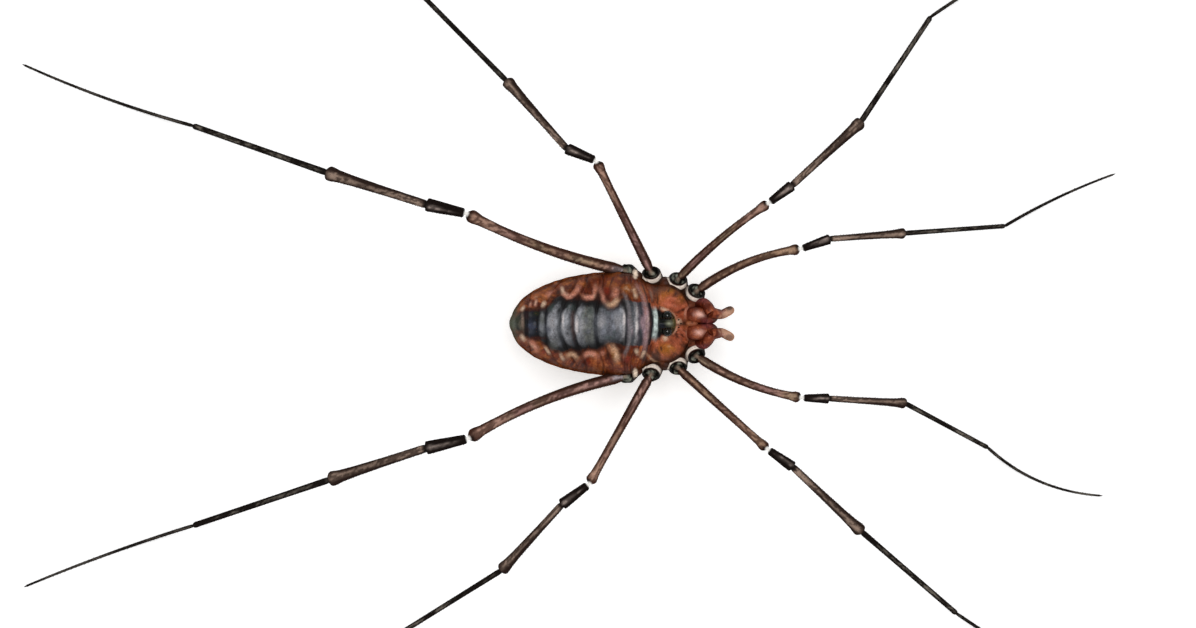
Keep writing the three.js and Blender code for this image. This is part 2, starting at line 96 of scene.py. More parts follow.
HIP_LOBES = (((2.92, 1.82, 4.22), (0.3, 0.3, 0.42)), ((1.66, 2.12, 4.5), (0.22, 0.26, 0.34)))

# The pale pads behind the fourth hips
PAD = {"x": 1.585, "out": 2.22, "half": (0.13, 0.24)}

# Mouthparts
CHELICERA_BASE = ((3.78, 0.36, 4.56), (4.2, 0.38, 4.72), (4.78, 0.38, 4.66))
CHELICERA_HAND = ((4.78, 0.36, 4.72), (5.12, 0.34, 4.1), (4.92, 0.32, 3.4))
FIXED_FINGER = ((4.92, 0.32, 3.5), (5.04, 0.3, 3.2), (4.96, 0.2, 2.86))
MOVING_FINGER = ((4.88, 0.32, 3.5), (4.76, 0.3, 3.2), (4.84, 0.2, 2.88))
CHELICERA_RADIUS = 0.3
FINGER_RADIUS = 0.11
PALP_JOINTS = (
    (4.34, 0.9, 3.96), (4.76, 0.92, 5.04), (5.0, 0.47, 5.42), (5.48, 0.4, 4.94), (5.9, 0.62, 3.86),
)
PALP_ARCHES = (0.0, 0.12, 0.12, 0.25)
PALP_RADIUS = 0.18
PALP_BALL = 1.15
PALP_CLAW = (0.08, 0, -0.2)
RECESS_GAP = 0.07
MOUTH_VOXEL = 0.018
MIDLINE_LAP = 0.006

# Legs
SEGMENTS = ("femur", "patella", "tibia", "metatarsus", "tarsus")
TROCHANTER_RADIUS = 0.31
SOCKET_RADIUS = 0.4
SOCKET_LEAN = 0.5
RIM_FACING = ((-0.75, 0.66), (-0.35, 0.94), (0.05, 1.0), (0.85, 0.5))
FEMUR_ARCH = 0.3
LEG_SIDES = 20
LEG_STEP = 0.05
LEG_PAIRS = (
    {
        "hip": (4.34, 1.46), "coxa": (3.72, 0.42, 3.5), "heights": (4.3, 8.2, 7.9, 4.9, 1.3),
        "left": {
            "headings": (22.1, 19, 4.4, 4.2, 25.4), "reaches": (5.03, 1.38, 3.37, 4.59, 5.41),
            "bows": (0.34, 0.13),
        },
        "right": {
            "headings": (21.6, 1.4, 3.7, 28.1, 23.2), "reaches": (5.06, 1.22, 3.45, 4.27, 5.52),
            "bows": (0.29, 0.48),
        },
    },
    {
        "hip": (3.51, 2.0), "coxa": (3.2, 0.52, 3.2), "heights": (4.3, 9.6, 9.3, 5.7, 1.4),
        "left": {
            "headings": (40.1, 37, 42.6, 56.2, 27.5), "reaches": (5.29, 1.3, 4.22, 5.74, 10.4),
            "bows": (0.16, 0.35),
        },
        "right": {
            "headings": (42.2, 35, 43.2, 40.8, 30), "reaches": (5.4, 1.37, 4.23, 5.74, 10.4),
            "bows": (0, 0.2),
        },
    },
    {
        "hip": (2.3, 2.28), "coxa": (2.62, 0.6, 3.05), "heights": (4.3, 8.2, 7.9, 4.8, 1.3),
        "left": {
            "headings": (116.3, 157.4, 131.4, 134.5, 143), "reaches": (5.59, 1.43, 4.06, 5.85, 7),
            "bows": (0, -0.3),
        },
        "right": {
            "headings": (119.6, 142.9, 132.3, 147.9, 144), "reaches": (5.66, 1.52, 3.99, 5.85, 7),
            "bows": (0, 0.2),
        },
    },
    {
        "hip": (1.15, 2.36), "coxa": (2.22, 0.72, 3.05), "heights": (4.3, 9.4, 9.0, 5.8, 1.4),
        "left": {
            "headings": (160.25, 167.3, 162.2, 160.6, 160.2),
            "reaches": (7.595, 1.82, 4.68, 6.47, 8.09), "bows": (0.27, 0.16),
        },
        "right": {
            "headings": (158.42, 167.1, 161.8, 161.3, 160.1),
            "reaches": (7.584, 1.93, 4.55, 6.56, 8.03), "bows": (0.33, 0.1),
        },
    },
)
THICKNESS = {
    "femur": (
        (0, 0.18), (0.05, 0.222), (0.25, 0.212), (0.5, 0.19), (0.8, 0.178), (0.92, 0.2),
        (0.96, 0.25), (0.98, 0.25), (1, 0.13),
    ),
    "patella": (
        (0, 0.14), (0.03, 0.18), (0.3, 0.2), (0.7, 0.235), (0.93, 0.25), (0.985, 0.25), (1, 0.2),
    ),
    "tibia": (
        (0, 0.14), (0.02, 0.16), (0.4, 0.172), (0.75, 0.205), (0.9, 0.24), (0.965, 0.285),
        (0.985, 0.285), (1, 0.22),
    ),
    "metatarsus": ((0, 0.11), (0.03, 0.13), (0.3, 0.12), (0.95, 0.112), (0.985, 0.12), (1, 0.09)),
    "tarsus": ((0, 0.065), (0.02, 0.078), (0.4, 0.066), (1, 0.048)),
}
STOUT = {
    "femur": (0.97, 0.93, 1.0, 1.2), "patella": (0.9, 0.98, 1.04, 1.2),
    "tibia": (0.84, 1.02, 1.0, 1.18), "metatarsus": (0.9, 1.04, 0.98, 1.16),
    "tarsus": (0.95, 1.0, 1.0, 1.05),
}
MEMBRANE_RADII = (0.1, 0.07, 0.11, 0.095, 0.055)
KNEE_GAPS = (0.0, 0.095, 0.02, 0.025, 0.02, 0.0)
BRISTLE_ROWS = 8
COARSE_BRISTLE = {"length": (0.05, 0.085), "radius": 0.011, "gap": (2.6, 4.6)}
FINE_BRISTLE = {"length": (0.045, 0.075), "radius": 0.007, "gap": (3.0, 5.5)}
CLAW_LENGTH = 0.14


def rgb(red, green, blue):
    """A colour given as a screen shows it, 0 to 255, as linear light."""
    values = np.array((red, green, blue)) / 255.0
    return np.where(values <= 0.04045, values / 12.92, ((values + 0.055) / 1.055) ** 2.4)


RUST = rgb(116, 50, 20)
RUST_LIGHT = rgb(176, 98, 52)
RUST_DARK = rgb(60, 20, 8)
ORANGE = rgb(164, 94, 30)
RED = rgb(140, 48, 34)
LOOP_PINK = rgb(216, 146, 124)
LOOP_TAN = rgb(212, 168, 134)
CREAM = rgb(230, 200, 172)
STRIPE_PINK = rgb(164, 132, 132)
STRIPE_PALE = rgb(150, 146, 148)
BLOOD = rgb(124, 34, 12)
SALMON = rgb(212, 118, 90)
OCHRE_LIGHT = rgb(196, 118, 48)
GLOBE_GREEN = rgb(92, 98, 84)
REAR_PALE = rgb(136, 114, 100)
REAR_GREEN = rgb(64, 66, 54)
CARAPACE = rgb(152, 76, 44)
CARAPACE_RED = rgb(171, 83, 57)
OCHRE = rgb(152, 98, 34)
BROWN = rgb(84, 46, 26)
BELLY = rgb(176, 150, 122)
BLACK = rgb(10, 9, 9)
# Dark brown for drawn lines, and for painted shade towards the edges of the body and carapace
LINE_AND_EDGE_SHADE_BROWN = rgb(40, 19, 10)
# Brown of the painted shade on the steep sides and in the creases between the coxae
SHADE_BROWN = rgb(84, 42, 22)
CHEEK_BROWN = rgb(150, 84, 60)
LOBE_TAN = rgb(158, 98, 58)
# Pale grey-green of a painted highlight
FURROW_HIGHLIGHT = rgb(156, 158, 136)
MAROON_FLANK = rgb(98, 32, 16)
MOUTH_RUST = rgb(134, 62, 36)
MOUTH_DARK = rgb(82, 28, 14)
MOUTH_LIGHT = rgb(178, 100, 66)
# Pink of the painted highlight on the chelicerae and palps
MOUTH_HIGHLIGHT_PINK = rgb(242, 184, 166)
MOUTH_PLUM = rgb(122, 58, 60)
PALP_TAN = rgb(196, 148, 118)
PALP_TIP = rgb(62, 40, 30)
CARAPACE_DARK = rgb(62, 28, 14)
CARAPACE_LIGHT = rgb(204, 112, 78)
TEAL = rgb(52, 66, 62)
OLIVE_DARK = rgb(40, 44, 24)
OLIVE = rgb(106, 94, 56)
# Deep brown of the eye tubercle's front, and of the painted shade round the hip sockets
BROWN_AND_CUP_SHADE = rgb(48, 28, 18)
RIM_CREAM = rgb(255, 240, 226)
PAD_CREAM = rgb(244, 222, 200)


# Small numeric helpers
def ramp(low, high, values):
    """0 before low, 1 past high and a smooth rise between. It falls where low is above high."""
    share = np.clip((values - low) / (high - low), 0.0, 1.0)
    return share * share * (3.0 - 2.0 * share)


def bell(gap, width):
    return np.exp(-(gap / width) ** 2)


def columns(*rows):
    return np.stack(rows, axis=1)


def unit(rows):
    """Vectors brought to length 1, one in each row."""
    return rows / np.linalg.norm(rows, axis=1)[:, None]


def stops_at(places, stops):
    """Values between stops, which are pairs of place and value."""
    return np.interp(places, *zip(*stops))


class Coat:
    """A colour at each point, over which more are laid. The first is one colour or a list."""

    def __init__(self, colour, points):
        self.tones = np.zeros((len(points), 3)) + colour

    def lay(self, colour, weight):
        """Moves the tones towards a colour, a list of them or a coat, by each point's weight."""
        target = colour.tones if isinstance(colour, Coat) else np.asarray(colour)
        self.tones = self.tones + (target - self.tones) * np.asarray(weight)[:, None]
        return self

    def fill(self, *pairs):
        """Sets the points that each pair's mask picks to the pair's colour."""
        for mask, colour in pairs:
            self.tones[mask] = colour
        return self

    def shade(self, amount):
        self.tones = self.tones * np.asarray(amount)[:, None]
        return self


def cell_noise(points, size, seed):
    """Smooth noise from -1 to 1 with cells of the given size."""
    scaled = points / size + seed * 17.31
    base = np.floor(scaled).astype(np.int64)
    part = scaled - base
    part = part * part * (3.0 - 2.0 * part)
    total = np.zeros(len(points))
    for corner in range(8):
        step = np.array([(corner >> axis) & 1 for axis in range(3)])
        cell = base + step
        key = cell[:, 0] * 73856093 ^ cell[:, 1] * 19349663 ^ cell[:, 2] * 83492791
        key = key ^ (seed * 2654435761)
        key = (key ^ (key >> 13)) * 1274126177 & 0xFFFFFFFF
        value = ((key ^ (key >> 16)) & 0xFFFF) / 32767.5 - 1.0
        weight = np.prod(np.where(step == 1, part, 1.0 - part), axis=1)
        total += value * weight
    return total


def noise(points, size, seed, layers=3):
    total = np.zeros(len(points))
    for layer in range(layers):
        total += cell_noise(points, size / 2 ** layer, seed + layer) / 2 ** layer
    return total / 1.6


# Meshes: points are in the animal's millimetres
def frame_offset():
    eye_low, eye_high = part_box("eye_left")
    head_low, head_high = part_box("prosoma")
    return np.array((
        (eye_low[0] + eye_high[0]) / 2 - EYE["x"] * MM,
        (head_low[1] + head_high[1]) / 2,
        0.0,
    ))


OFFSET = frame_offset()


def link(thing):
    bpy.context.scene.collection.objects.link(thing)
    return thing


def raw_object(name, points, faces):
    mesh = bpy.data.meshes.new(name)
    mesh.from_pydata(np.asarray(points).tolist(), [], faces)
    mesh.update()
    return link(bpy.data.objects.new(name, mesh))


def make_piece(name, points, faces, material, colours=None):
    """A finished piece: the mesh in metres in the frame, smooth, with its colours by point.

    The colours' fourth value is the gloss, which fades from the back down the steep sides.
    """
    thing = raw_object(name, np.asarray(points) * MM + OFFSET, faces)
    thing.data.materials.append(material)
    thing.data.polygons.foreach_set("use_smooth", [True] * len(thing.data.polygons))
    if colours is not None:
        normals = np.empty(len(points) * 3, dtype=np.float32)
        thing.data.vertex_normals.foreach_get("vector", normals)
        layer = thing.data.color_attributes.new("Pattern", "FLOAT_COLOR", "POINT")
        rows = np.ones((len(points), 4), dtype=np.float32)
        rows[:, :3] = colours
        rows[:, 3] = ramp(0.25, 0.75, normals[2::3])
        layer.data.foreach_set("color", rows.ravel())
    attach(thing, "root")
    return thing


def mesh_arrays(mesh):
    points = np.empty(len(mesh.vertices) * 3, dtype=np.float32)
    mesh.vertices.foreach_get("co", points)
    normals = np.empty(len(mesh.vertices) * 3, dtype=np.float32)
    mesh.vertices.foreach_get("normal", normals)
    faces = [tuple(face.vertices) for face in mesh.polygons]
    return points.reshape(-1, 3).astype(float), normals.reshape(-1, 3).astype(float), faces


def joined(parts):
    """Several (points, faces) as one."""
    points, faces, first = [], [], 0
    for part_points, part_faces in parts:
        points.append(np.asarray(part_points))
        faces.extend([tuple(corner + first for corner in face) for face in part_faces])
        first += len(part_points)
    return np.vstack(points), faces


def tube_faces(rings, sides):
    """Quads between rings, with a point closing each end after the last ring."""
    faces = []
    for ring in range(rings - 1):
        for side in range(sides):
            here = ring * sides + side
            after = ring * sides + (side + 1) % sides
            faces.append((here, after, after + sides, here + sides))
    first_pole = rings * sides
    last_ring = (rings - 1) * sides
    for side in range(sides):
        after = (side + 1) % sides
        faces.append((first_pole, after, side))
        faces.append((first_pole + 1, last_ring + side, last_ring + after))
    return faces


def tube(centres, radii, sides, up=(0, 0, 1), ribs=0.0):
    """A closed tube with one ring at each centre. ribs is the depth of five low ridges along it."""
    centres = np.asarray(centres, dtype=float)
    tangents = unit(np.gradient(centres, axis=0))
    across = unit(np.cross(tangents, np.asarray(up, dtype=float)))
    lift = np.cross(across, tangents)
    angles = np.linspace(0, 2 * math.pi, sides, endpoint=False)
    radii = np.asarray(radii)[:, None] * np.ones((1, sides))
    radii = radii * (1 + ribs * np.cos(5 * angles))[None, :]
    points = (
        centres[:, None, :]
        + across[:, None, :] * (np.cos(angles)[None, :] * radii)[:, :, None]
        + lift[:, None, :] * (np.sin(angles)[None, :] * radii)[:, :, None]
    ).reshape(-1, 3)
    return np.vstack([points, centres[[0, -1]]]), tube_faces(len(centres), sides)


def bezier(start, control, end, count):
    share = np.linspace(0, 1, count)[:, None]
    start, control, end = (np.asarray(point, dtype=float) for point in (start, control, end))
    return start * (1 - share) ** 2 + 2 * control * share * (1 - share) + end * share ** 2


def swept(start, control, end, stops, count=24, sides=24, up=(0, 0, 1)):
    """A tube on a bent line. stops are pairs of share of the length and radius."""
    radii = stops_at(np.linspace(0, 1, count), stops)
    return tube(bezier(start, control, end, count), radii, sides, up)


def ball(centre, half, sides=32, rings=20):
    turn = np.linspace(0, math.pi, rings + 1)[1:-1]
    angles = np.linspace(0, 2 * math.pi, sides, endpoint=False)
    ring_z = -np.cos(turn)
    ring_r = np.sin(turn)
    points = np.stack([
        ring_r[:, None] * np.cos(angles)[None, :],
        ring_r[:, None] * np.sin(angles)[None, :],
        ring_z[:, None] * np.ones_like(angles)[None, :],
    ], axis=2).reshape(-1, 3)
    points = np.vstack([points, (0, 0, -1), (0, 0, 1)]) * np.asarray(half) + np.asarray(centre)
    return points, tube_faces(rings - 1, sides)


def mirrored(point, side):
    return (point[0], point[1] * side, point[2])


def evaluated(thing):
    """The object's mesh with its modifiers applied, as arrays. The object is removed."""
    graph = bpy.context.evaluated_depsgraph_get()
    mesh = thing.evaluated_get(graph).to_mesh()
    arrays = mesh_arrays(mesh)
    thing.evaluated_get(graph).to_mesh_clear()
    bpy.data.objects.remove(thing)
    return arrays


def welded(parts, voxel, cutters=(), relax=3):
    """Parts that overlap, less the cutters, as one even closed skin."""
    base = raw_object("weld", *parts[0])
    tools = [(raw_object("tool", *part), "UNION") for part in parts[1:]]
    tools += [(raw_object("tool", *part), "DIFFERENCE") for part in cutters]
    for tool, operation in tools:
        change = base.modifiers.new("change", "BOOLEAN")
        change.operation = operation
        change.solver = "MANIFOLD"
        change.object = tool
    remesh = base.modifiers.new("skin", "REMESH")
    remesh.mode = "VOXEL"
    remesh.voxel_size = voxel
    relaxed = base.modifiers.new("relax", "SMOOTH")
    relaxed.factor = 0.5
    relaxed.iterations = relax
    arrays = evaluated(base)
    for tool, _ in tools:
        bpy.data.objects.remove(tool)
    return arrays


def cones(roots, directions, lengths, radii, sides, sink):
    """Tapered spines, each a ring at its root, a thinner ring halfway and a tip."""
    roots, directions = np.asarray(roots, dtype=float), unit(np.asarray(directions, dtype=float))
    upright = np.abs(directions[:, 2:3]) > 0.8
    first = unit(np.cross(directions, np.where(upright, ((1.0, 0, 0),), ((0, 0, 1.0),))))
    second = np.cross(directions, first)
    angles = np.linspace(0, 2 * math.pi, sides, endpoint=False)[None, :, None]
    ring = first[:, None, :] * np.cos(angles) + second[:, None, :] * np.sin(angles)
    lengths, radii = np.asarray(lengths)[:, None], np.asarray(radii)[:, None]
    base = roots - directions * lengths * sink
    middle = roots + directions * lengths * 0.5
    tip = roots + directions * lengths
    points = np.concatenate([
        base[:, None, :] + ring * radii[:, None],
        middle[:, None, :] + ring * radii[:, None] * 0.62,
        tip[:, None, :],
        base[:, None, :],
    ], axis=1)
    faces = []
    for start in range(0, len(roots) * (2 * sides + 2), 2 * sides + 2):
        for side in range(sides):
            low, after = start + side, start + (side + 1) % sides
            faces.append((low, after, after + sides, low + sides))
            faces.append((low + sides, after + sides, start + 2 * sides))
            faces.append((after, low, start + 2 * sides + 1))
    return points.reshape(-1, 3), faces


# The body's form
def outline(x, form):
    rear = x < form["crown"]
    end = np.where(rear, BODY_REAR, BODY_FRONT)
    p = np.where(rear, form["rear"][0], form["front"][0])
    q = np.where(rear, form["rear"][1], form["front"][1])
    share = np.clip(np.abs((x - form["crown"]) / (end - form["crown"])), 0, 1)
    return form["size"] * (1 - share ** p) ** (1 / q)


def half_width(x):
    """The body's half width, which draws in above the hips."""
    bay = bell(x - HIP_BAY["x"], HIP_BAY["width"])
    return outline(x, SIDE_OUTLINE) * (1 - HIP_BAY["depth"] * bay)


def back_height(x, y):
    x = np.asarray(x, dtype=float)
    width = np.maximum(half_width(x), 1e-6)
    share = np.minimum(np.abs(np.asarray(y) / width), 1)
    rise = (1 - share ** SECTION_POWER) ** (1 / SECTION_POWER)
    return BODY_LEVEL + outline(x, TOP_OUTLINE) * rise


def body_loft(rings=150, sides=120):
    turn = np.linspace(0, math.pi, rings + 2)[1:-1]
    x = (BODY_FRONT + BODY_REAR) / 2 - np.cos(turn) * (BODY_FRONT - BODY_REAR) / 2
    angle = np.linspace(0, 2 * math.pi, sides, endpoint=False)
    sine, cosine = np.sin(angle), np.cos(angle)
    power = 2 / SECTION_POWER
    wide = np.sign(sine) * np.abs(sine) ** power
    tall = np.sign(cosine) * np.abs(cosine) ** power
    top, belly = outline(x, TOP_OUTLINE), outline(x, BELLY_OUTLINE)
    height = np.where(cosine[None, :] > 0, top[:, None], belly[:, None])
    points = np.stack([
        x[:, None] * np.ones((1, sides)),
        half_width(x)[:, None] * wide[None, :],
        BODY_LEVEL + height * tall[None, :],
    ], axis=2).reshape(-1, 3)
    poles = [(BODY_REAR, 0, BODY_LEVEL), (BODY_FRONT, 0, BODY_LEVEL)]
    faces = [tuple(reversed(face)) for face in tube_faces(rings, sides)]
    return np.vstack([points, poles]), faces


def hip_point(pair, side):
    return np.array((pair["hip"][0], pair["hip"][1] * side, pair["heights"][0]))


def socket_axis(side):
    return np.array((0, side * SOCKET_LEAN, 1)) / math.hypot(SOCKET_LEAN, 1)


def coxa(pair, side):
    hip = hip_point(pair, side)
    base = np.array(mirrored(pair["coxa"], side))
    bend = (base + hip) / 2 - (0, 0, 0.3)
    stops = ((0, 0.3), (0.15, 0.42), (0.55, 0.5), (0.85, 0.49), (1, 0.43))
    return swept(base, bend, hip, stops, 28, 32)


def hip_socket(pair, side):
    """The cutter of a hip's cup: a half ball with a tube that widens up and outward."""
    distance = -SOCKET_RADIUS + np.linspace(0, 1, 40) * SOCKET_RADIUS * 5
    radii = np.where(
        distance < 0,
        np.sqrt(np.maximum(SOCKET_RADIUS ** 2 - distance ** 2, 1e-6)),
        SOCKET_RADIUS * (1 + 0.04 * distance),
    )
    axis = socket_axis(side)[None, :]
    return tube(hip_point(pair, side) + axis * distance[:, None], radii, 32, (1, 0, 0))


def eye_centre(side):
    return np.array((EYE["x"], EYE["out"] * side, back_height(OCULARIUM["x"], 0) + EYE["above"]))


def tubercle_centre():
    return np.array((OCULARIUM["x"], 0, back_height(OCULARIUM["x"], 0) - OCULARIUM["sunk"]))


def chelicera_recess(side):
    inner, middle, outer = (np.array(mirrored(point, side)) for point in CHELICERA_BASE)
    wide = CHELICERA_RADIUS + RECESS_GAP
    stops = ((0, wide * 0.7), (0.12, wide), (0.9, wide), (1, wide * 0.9))
    return swept(inner - (0.1, 0, 0), middle, outer, stops, 20, 28)


def body_skin():
    """Abdomen, carapace, eye tubercle, coxae, lobes and plates as one, with room for the rest."""
    parts = [body_loft(), ball(tubercle_centre(), OCULARIUM["half"], 40, 26)]
    for form in (GENITAL_PLATE, ANAL_PLATE, LABRUM, MEDIAN_LOBE):
        parts.append(ball(form["at"], form["half"]))
    cuts = [ball(tubercle_centre() + (0, 0, 0.5), (0.62, 0.13, 0.2))]
    for side in (1, -1):
        parts.append(ball(mirrored(MOUTH_LOBE["at"], side), MOUTH_LOBE["half"]))
        parts.extend(ball(mirrored(at, side), half) for at, half in HIP_LOBES)
        cuts.append(chelicera_recess(side))
        palp_room = PALP_RADIUS * PALP_BALL + RECESS_GAP
        cuts.append(ball(mirrored(PALP_JOINTS[0], side), (palp_room,) * 3))
        cuts.append(ball(eye_centre(side), (EYE["radius"] + 0.012,) * 3, 40, 26))
        for pair in LEG_PAIRS:
            parts.append(coxa(pair, side))
            cuts.append(hip_socket(pair, side))
    return welded(parts, SKIN_VOXEL, cuts)


# The marks of the back, as the drawing has them. Stripes go by u, which is x along their curve.
STRIPE_BOW = (
    (-3.5, -0.1), (-2.4, -0.2), (-1.5, -0.42), (-0.2, -0.25), (1.05, 0.0), (1.4, 0.2), (2.6, 0.24),
)
BOW_HALF_WIDTH = 1.35
BOW_LIMIT = 1.9
SADDLE_FRONT = 2.25
SADDLE_LEFT = (
    (-3.9, 0.0), (-3.6, 0.42), (-3.35, 0.6), (-2.45, 0.66), (-2.2, 0.86), (-1.95, 1.17),
    (-1.75, 1.24), (-1.5, 1.1), (-1.1, 1.16), (-0.7, 1.08), (-0.1, 1.12), (0.15, 0.98), (0.45, 0.8),
    (0.75, 0.94),
    (0.95, 1.12), (1.25, 1.06), (1.6, 0.96), (2.0, 1.0), (2.5, 0.85), (2.7, 0.75),
)
SADDLE_RIGHT = (
    (-3.9, 0.0), (-3.6, 0.4), (-3.35, 0.56), (-2.7, 0.72), (-2.35, 0.95), (-2.0, 1.2), (-1.7, 1.24),
    (-1.3, 1.14), (-1.0, 1.22), (-0.5, 1.12), (-0.1, 1.16), (0.1, 1.0), (0.42, 0.84), (0.75, 0.9),
    (1.0, 0.96), (1.25, 1.0), (1.6, 0.98), (2.0, 1.0), (2.5, 0.85), (2.7, 0.75),
)
# How strong the black along the saddle's edge is
SADDLE_EDGE = (
    (-3.4, 0.8), (-2.5, 0.8), (-2.0, 0.85), (-1.7, 1), (0.0, 1), (0.3, 0.55), (0.7, 0.6), (1.0, 1),
    (1.15, 0.6), (1.3, 0.4), (2.3, 0.4), (2.6, 0.45),
)
INK = rgb(16, 18, 24)
STEEL = rgb(34, 37, 43)
GREY = rgb(90, 92, 96)
PALE_GREY = rgb(132, 133, 138)
# White of the painted highlights on the saddle
HIGHLIGHT_WHITE = rgb(222, 212, 210)
BLUE_STEEL = rgb(58, 62, 78)
MAROON = rgb(40, 22, 24)
MAUVE = rgb(92, 82, 90)
PINK = rgb(168, 138, 146)
PALE_GREEN = rgb(184, 196, 192)
GREEN_GREY = rgb(97, 99, 95)
SOFT_STEEL = rgb(62, 64, 70)
# Softer white of the painted highlights on the saddle
SOFT_HIGHLIGHT_WHITE = rgb(156, 153, 156)
UMBER = rgb(66, 52, 52)
COOL_GREY = rgb(98, 100, 108)
REAR_BROWN = rgb(84, 70, 58)
# Stripes across the saddle: place and colour. The two soft white pairs are painted highlights.
STRIPES = (
    (-3.75, REAR_GREEN), (-3.42, REAR_BROWN), (-3.34, INK), (-3.15, BLUE_STEEL), (-2.95, STEEL),
    (-2.79, INK), (-2.68, GREY), (-2.57, GREY), (-2.49, SOFT_STEEL), (-2.41, SOFT_STEEL),
    (-2.28, PALE_GREY), (-2.0, PALE_GREY), (-1.9, GREY), (-1.79, SOFT_STEEL), (-1.71, PALE_GREY),
    (-1.6, PALE_GREY), (-1.48, PALE_GREY), (-1.38, GREY), (-1.28, UMBER), (-1.19, UMBER),
    (-1.11, PALE_GREY), (-1.02, PALE_GREY), (-0.88, PALE_GREY), (-0.7, GREEN_GREY),
    (-0.4, GREEN_GREY), (-0.23, SOFT_STEEL), (-0.18, SOFT_STEEL), (-0.06, GREY), (0.1, COOL_GREY),
    (0.35, COOL_GREY), (0.8, COOL_GREY), (0.98, PALE_GREY), (1.04, SOFT_HIGHLIGHT_WHITE), (1.1, SOFT_HIGHLIGHT_WHITE),
    (1.18, STEEL), (1.3, MAUVE), (1.45, GREY), (1.55, GREY), (1.62, SOFT_HIGHLIGHT_WHITE), (1.69, SOFT_HIGHLIGHT_WHITE),
    (1.77, MAUVE), (1.86, SOFT_STEEL), (1.93, MAUVE), (2.04, PINK), (2.13, PINK), (2.23, MAROON),
    (2.36, INK), (2.46, PALE_GREEN), (2.57, PALE_GREEN), (2.64, INK), (2.8, INK),
)

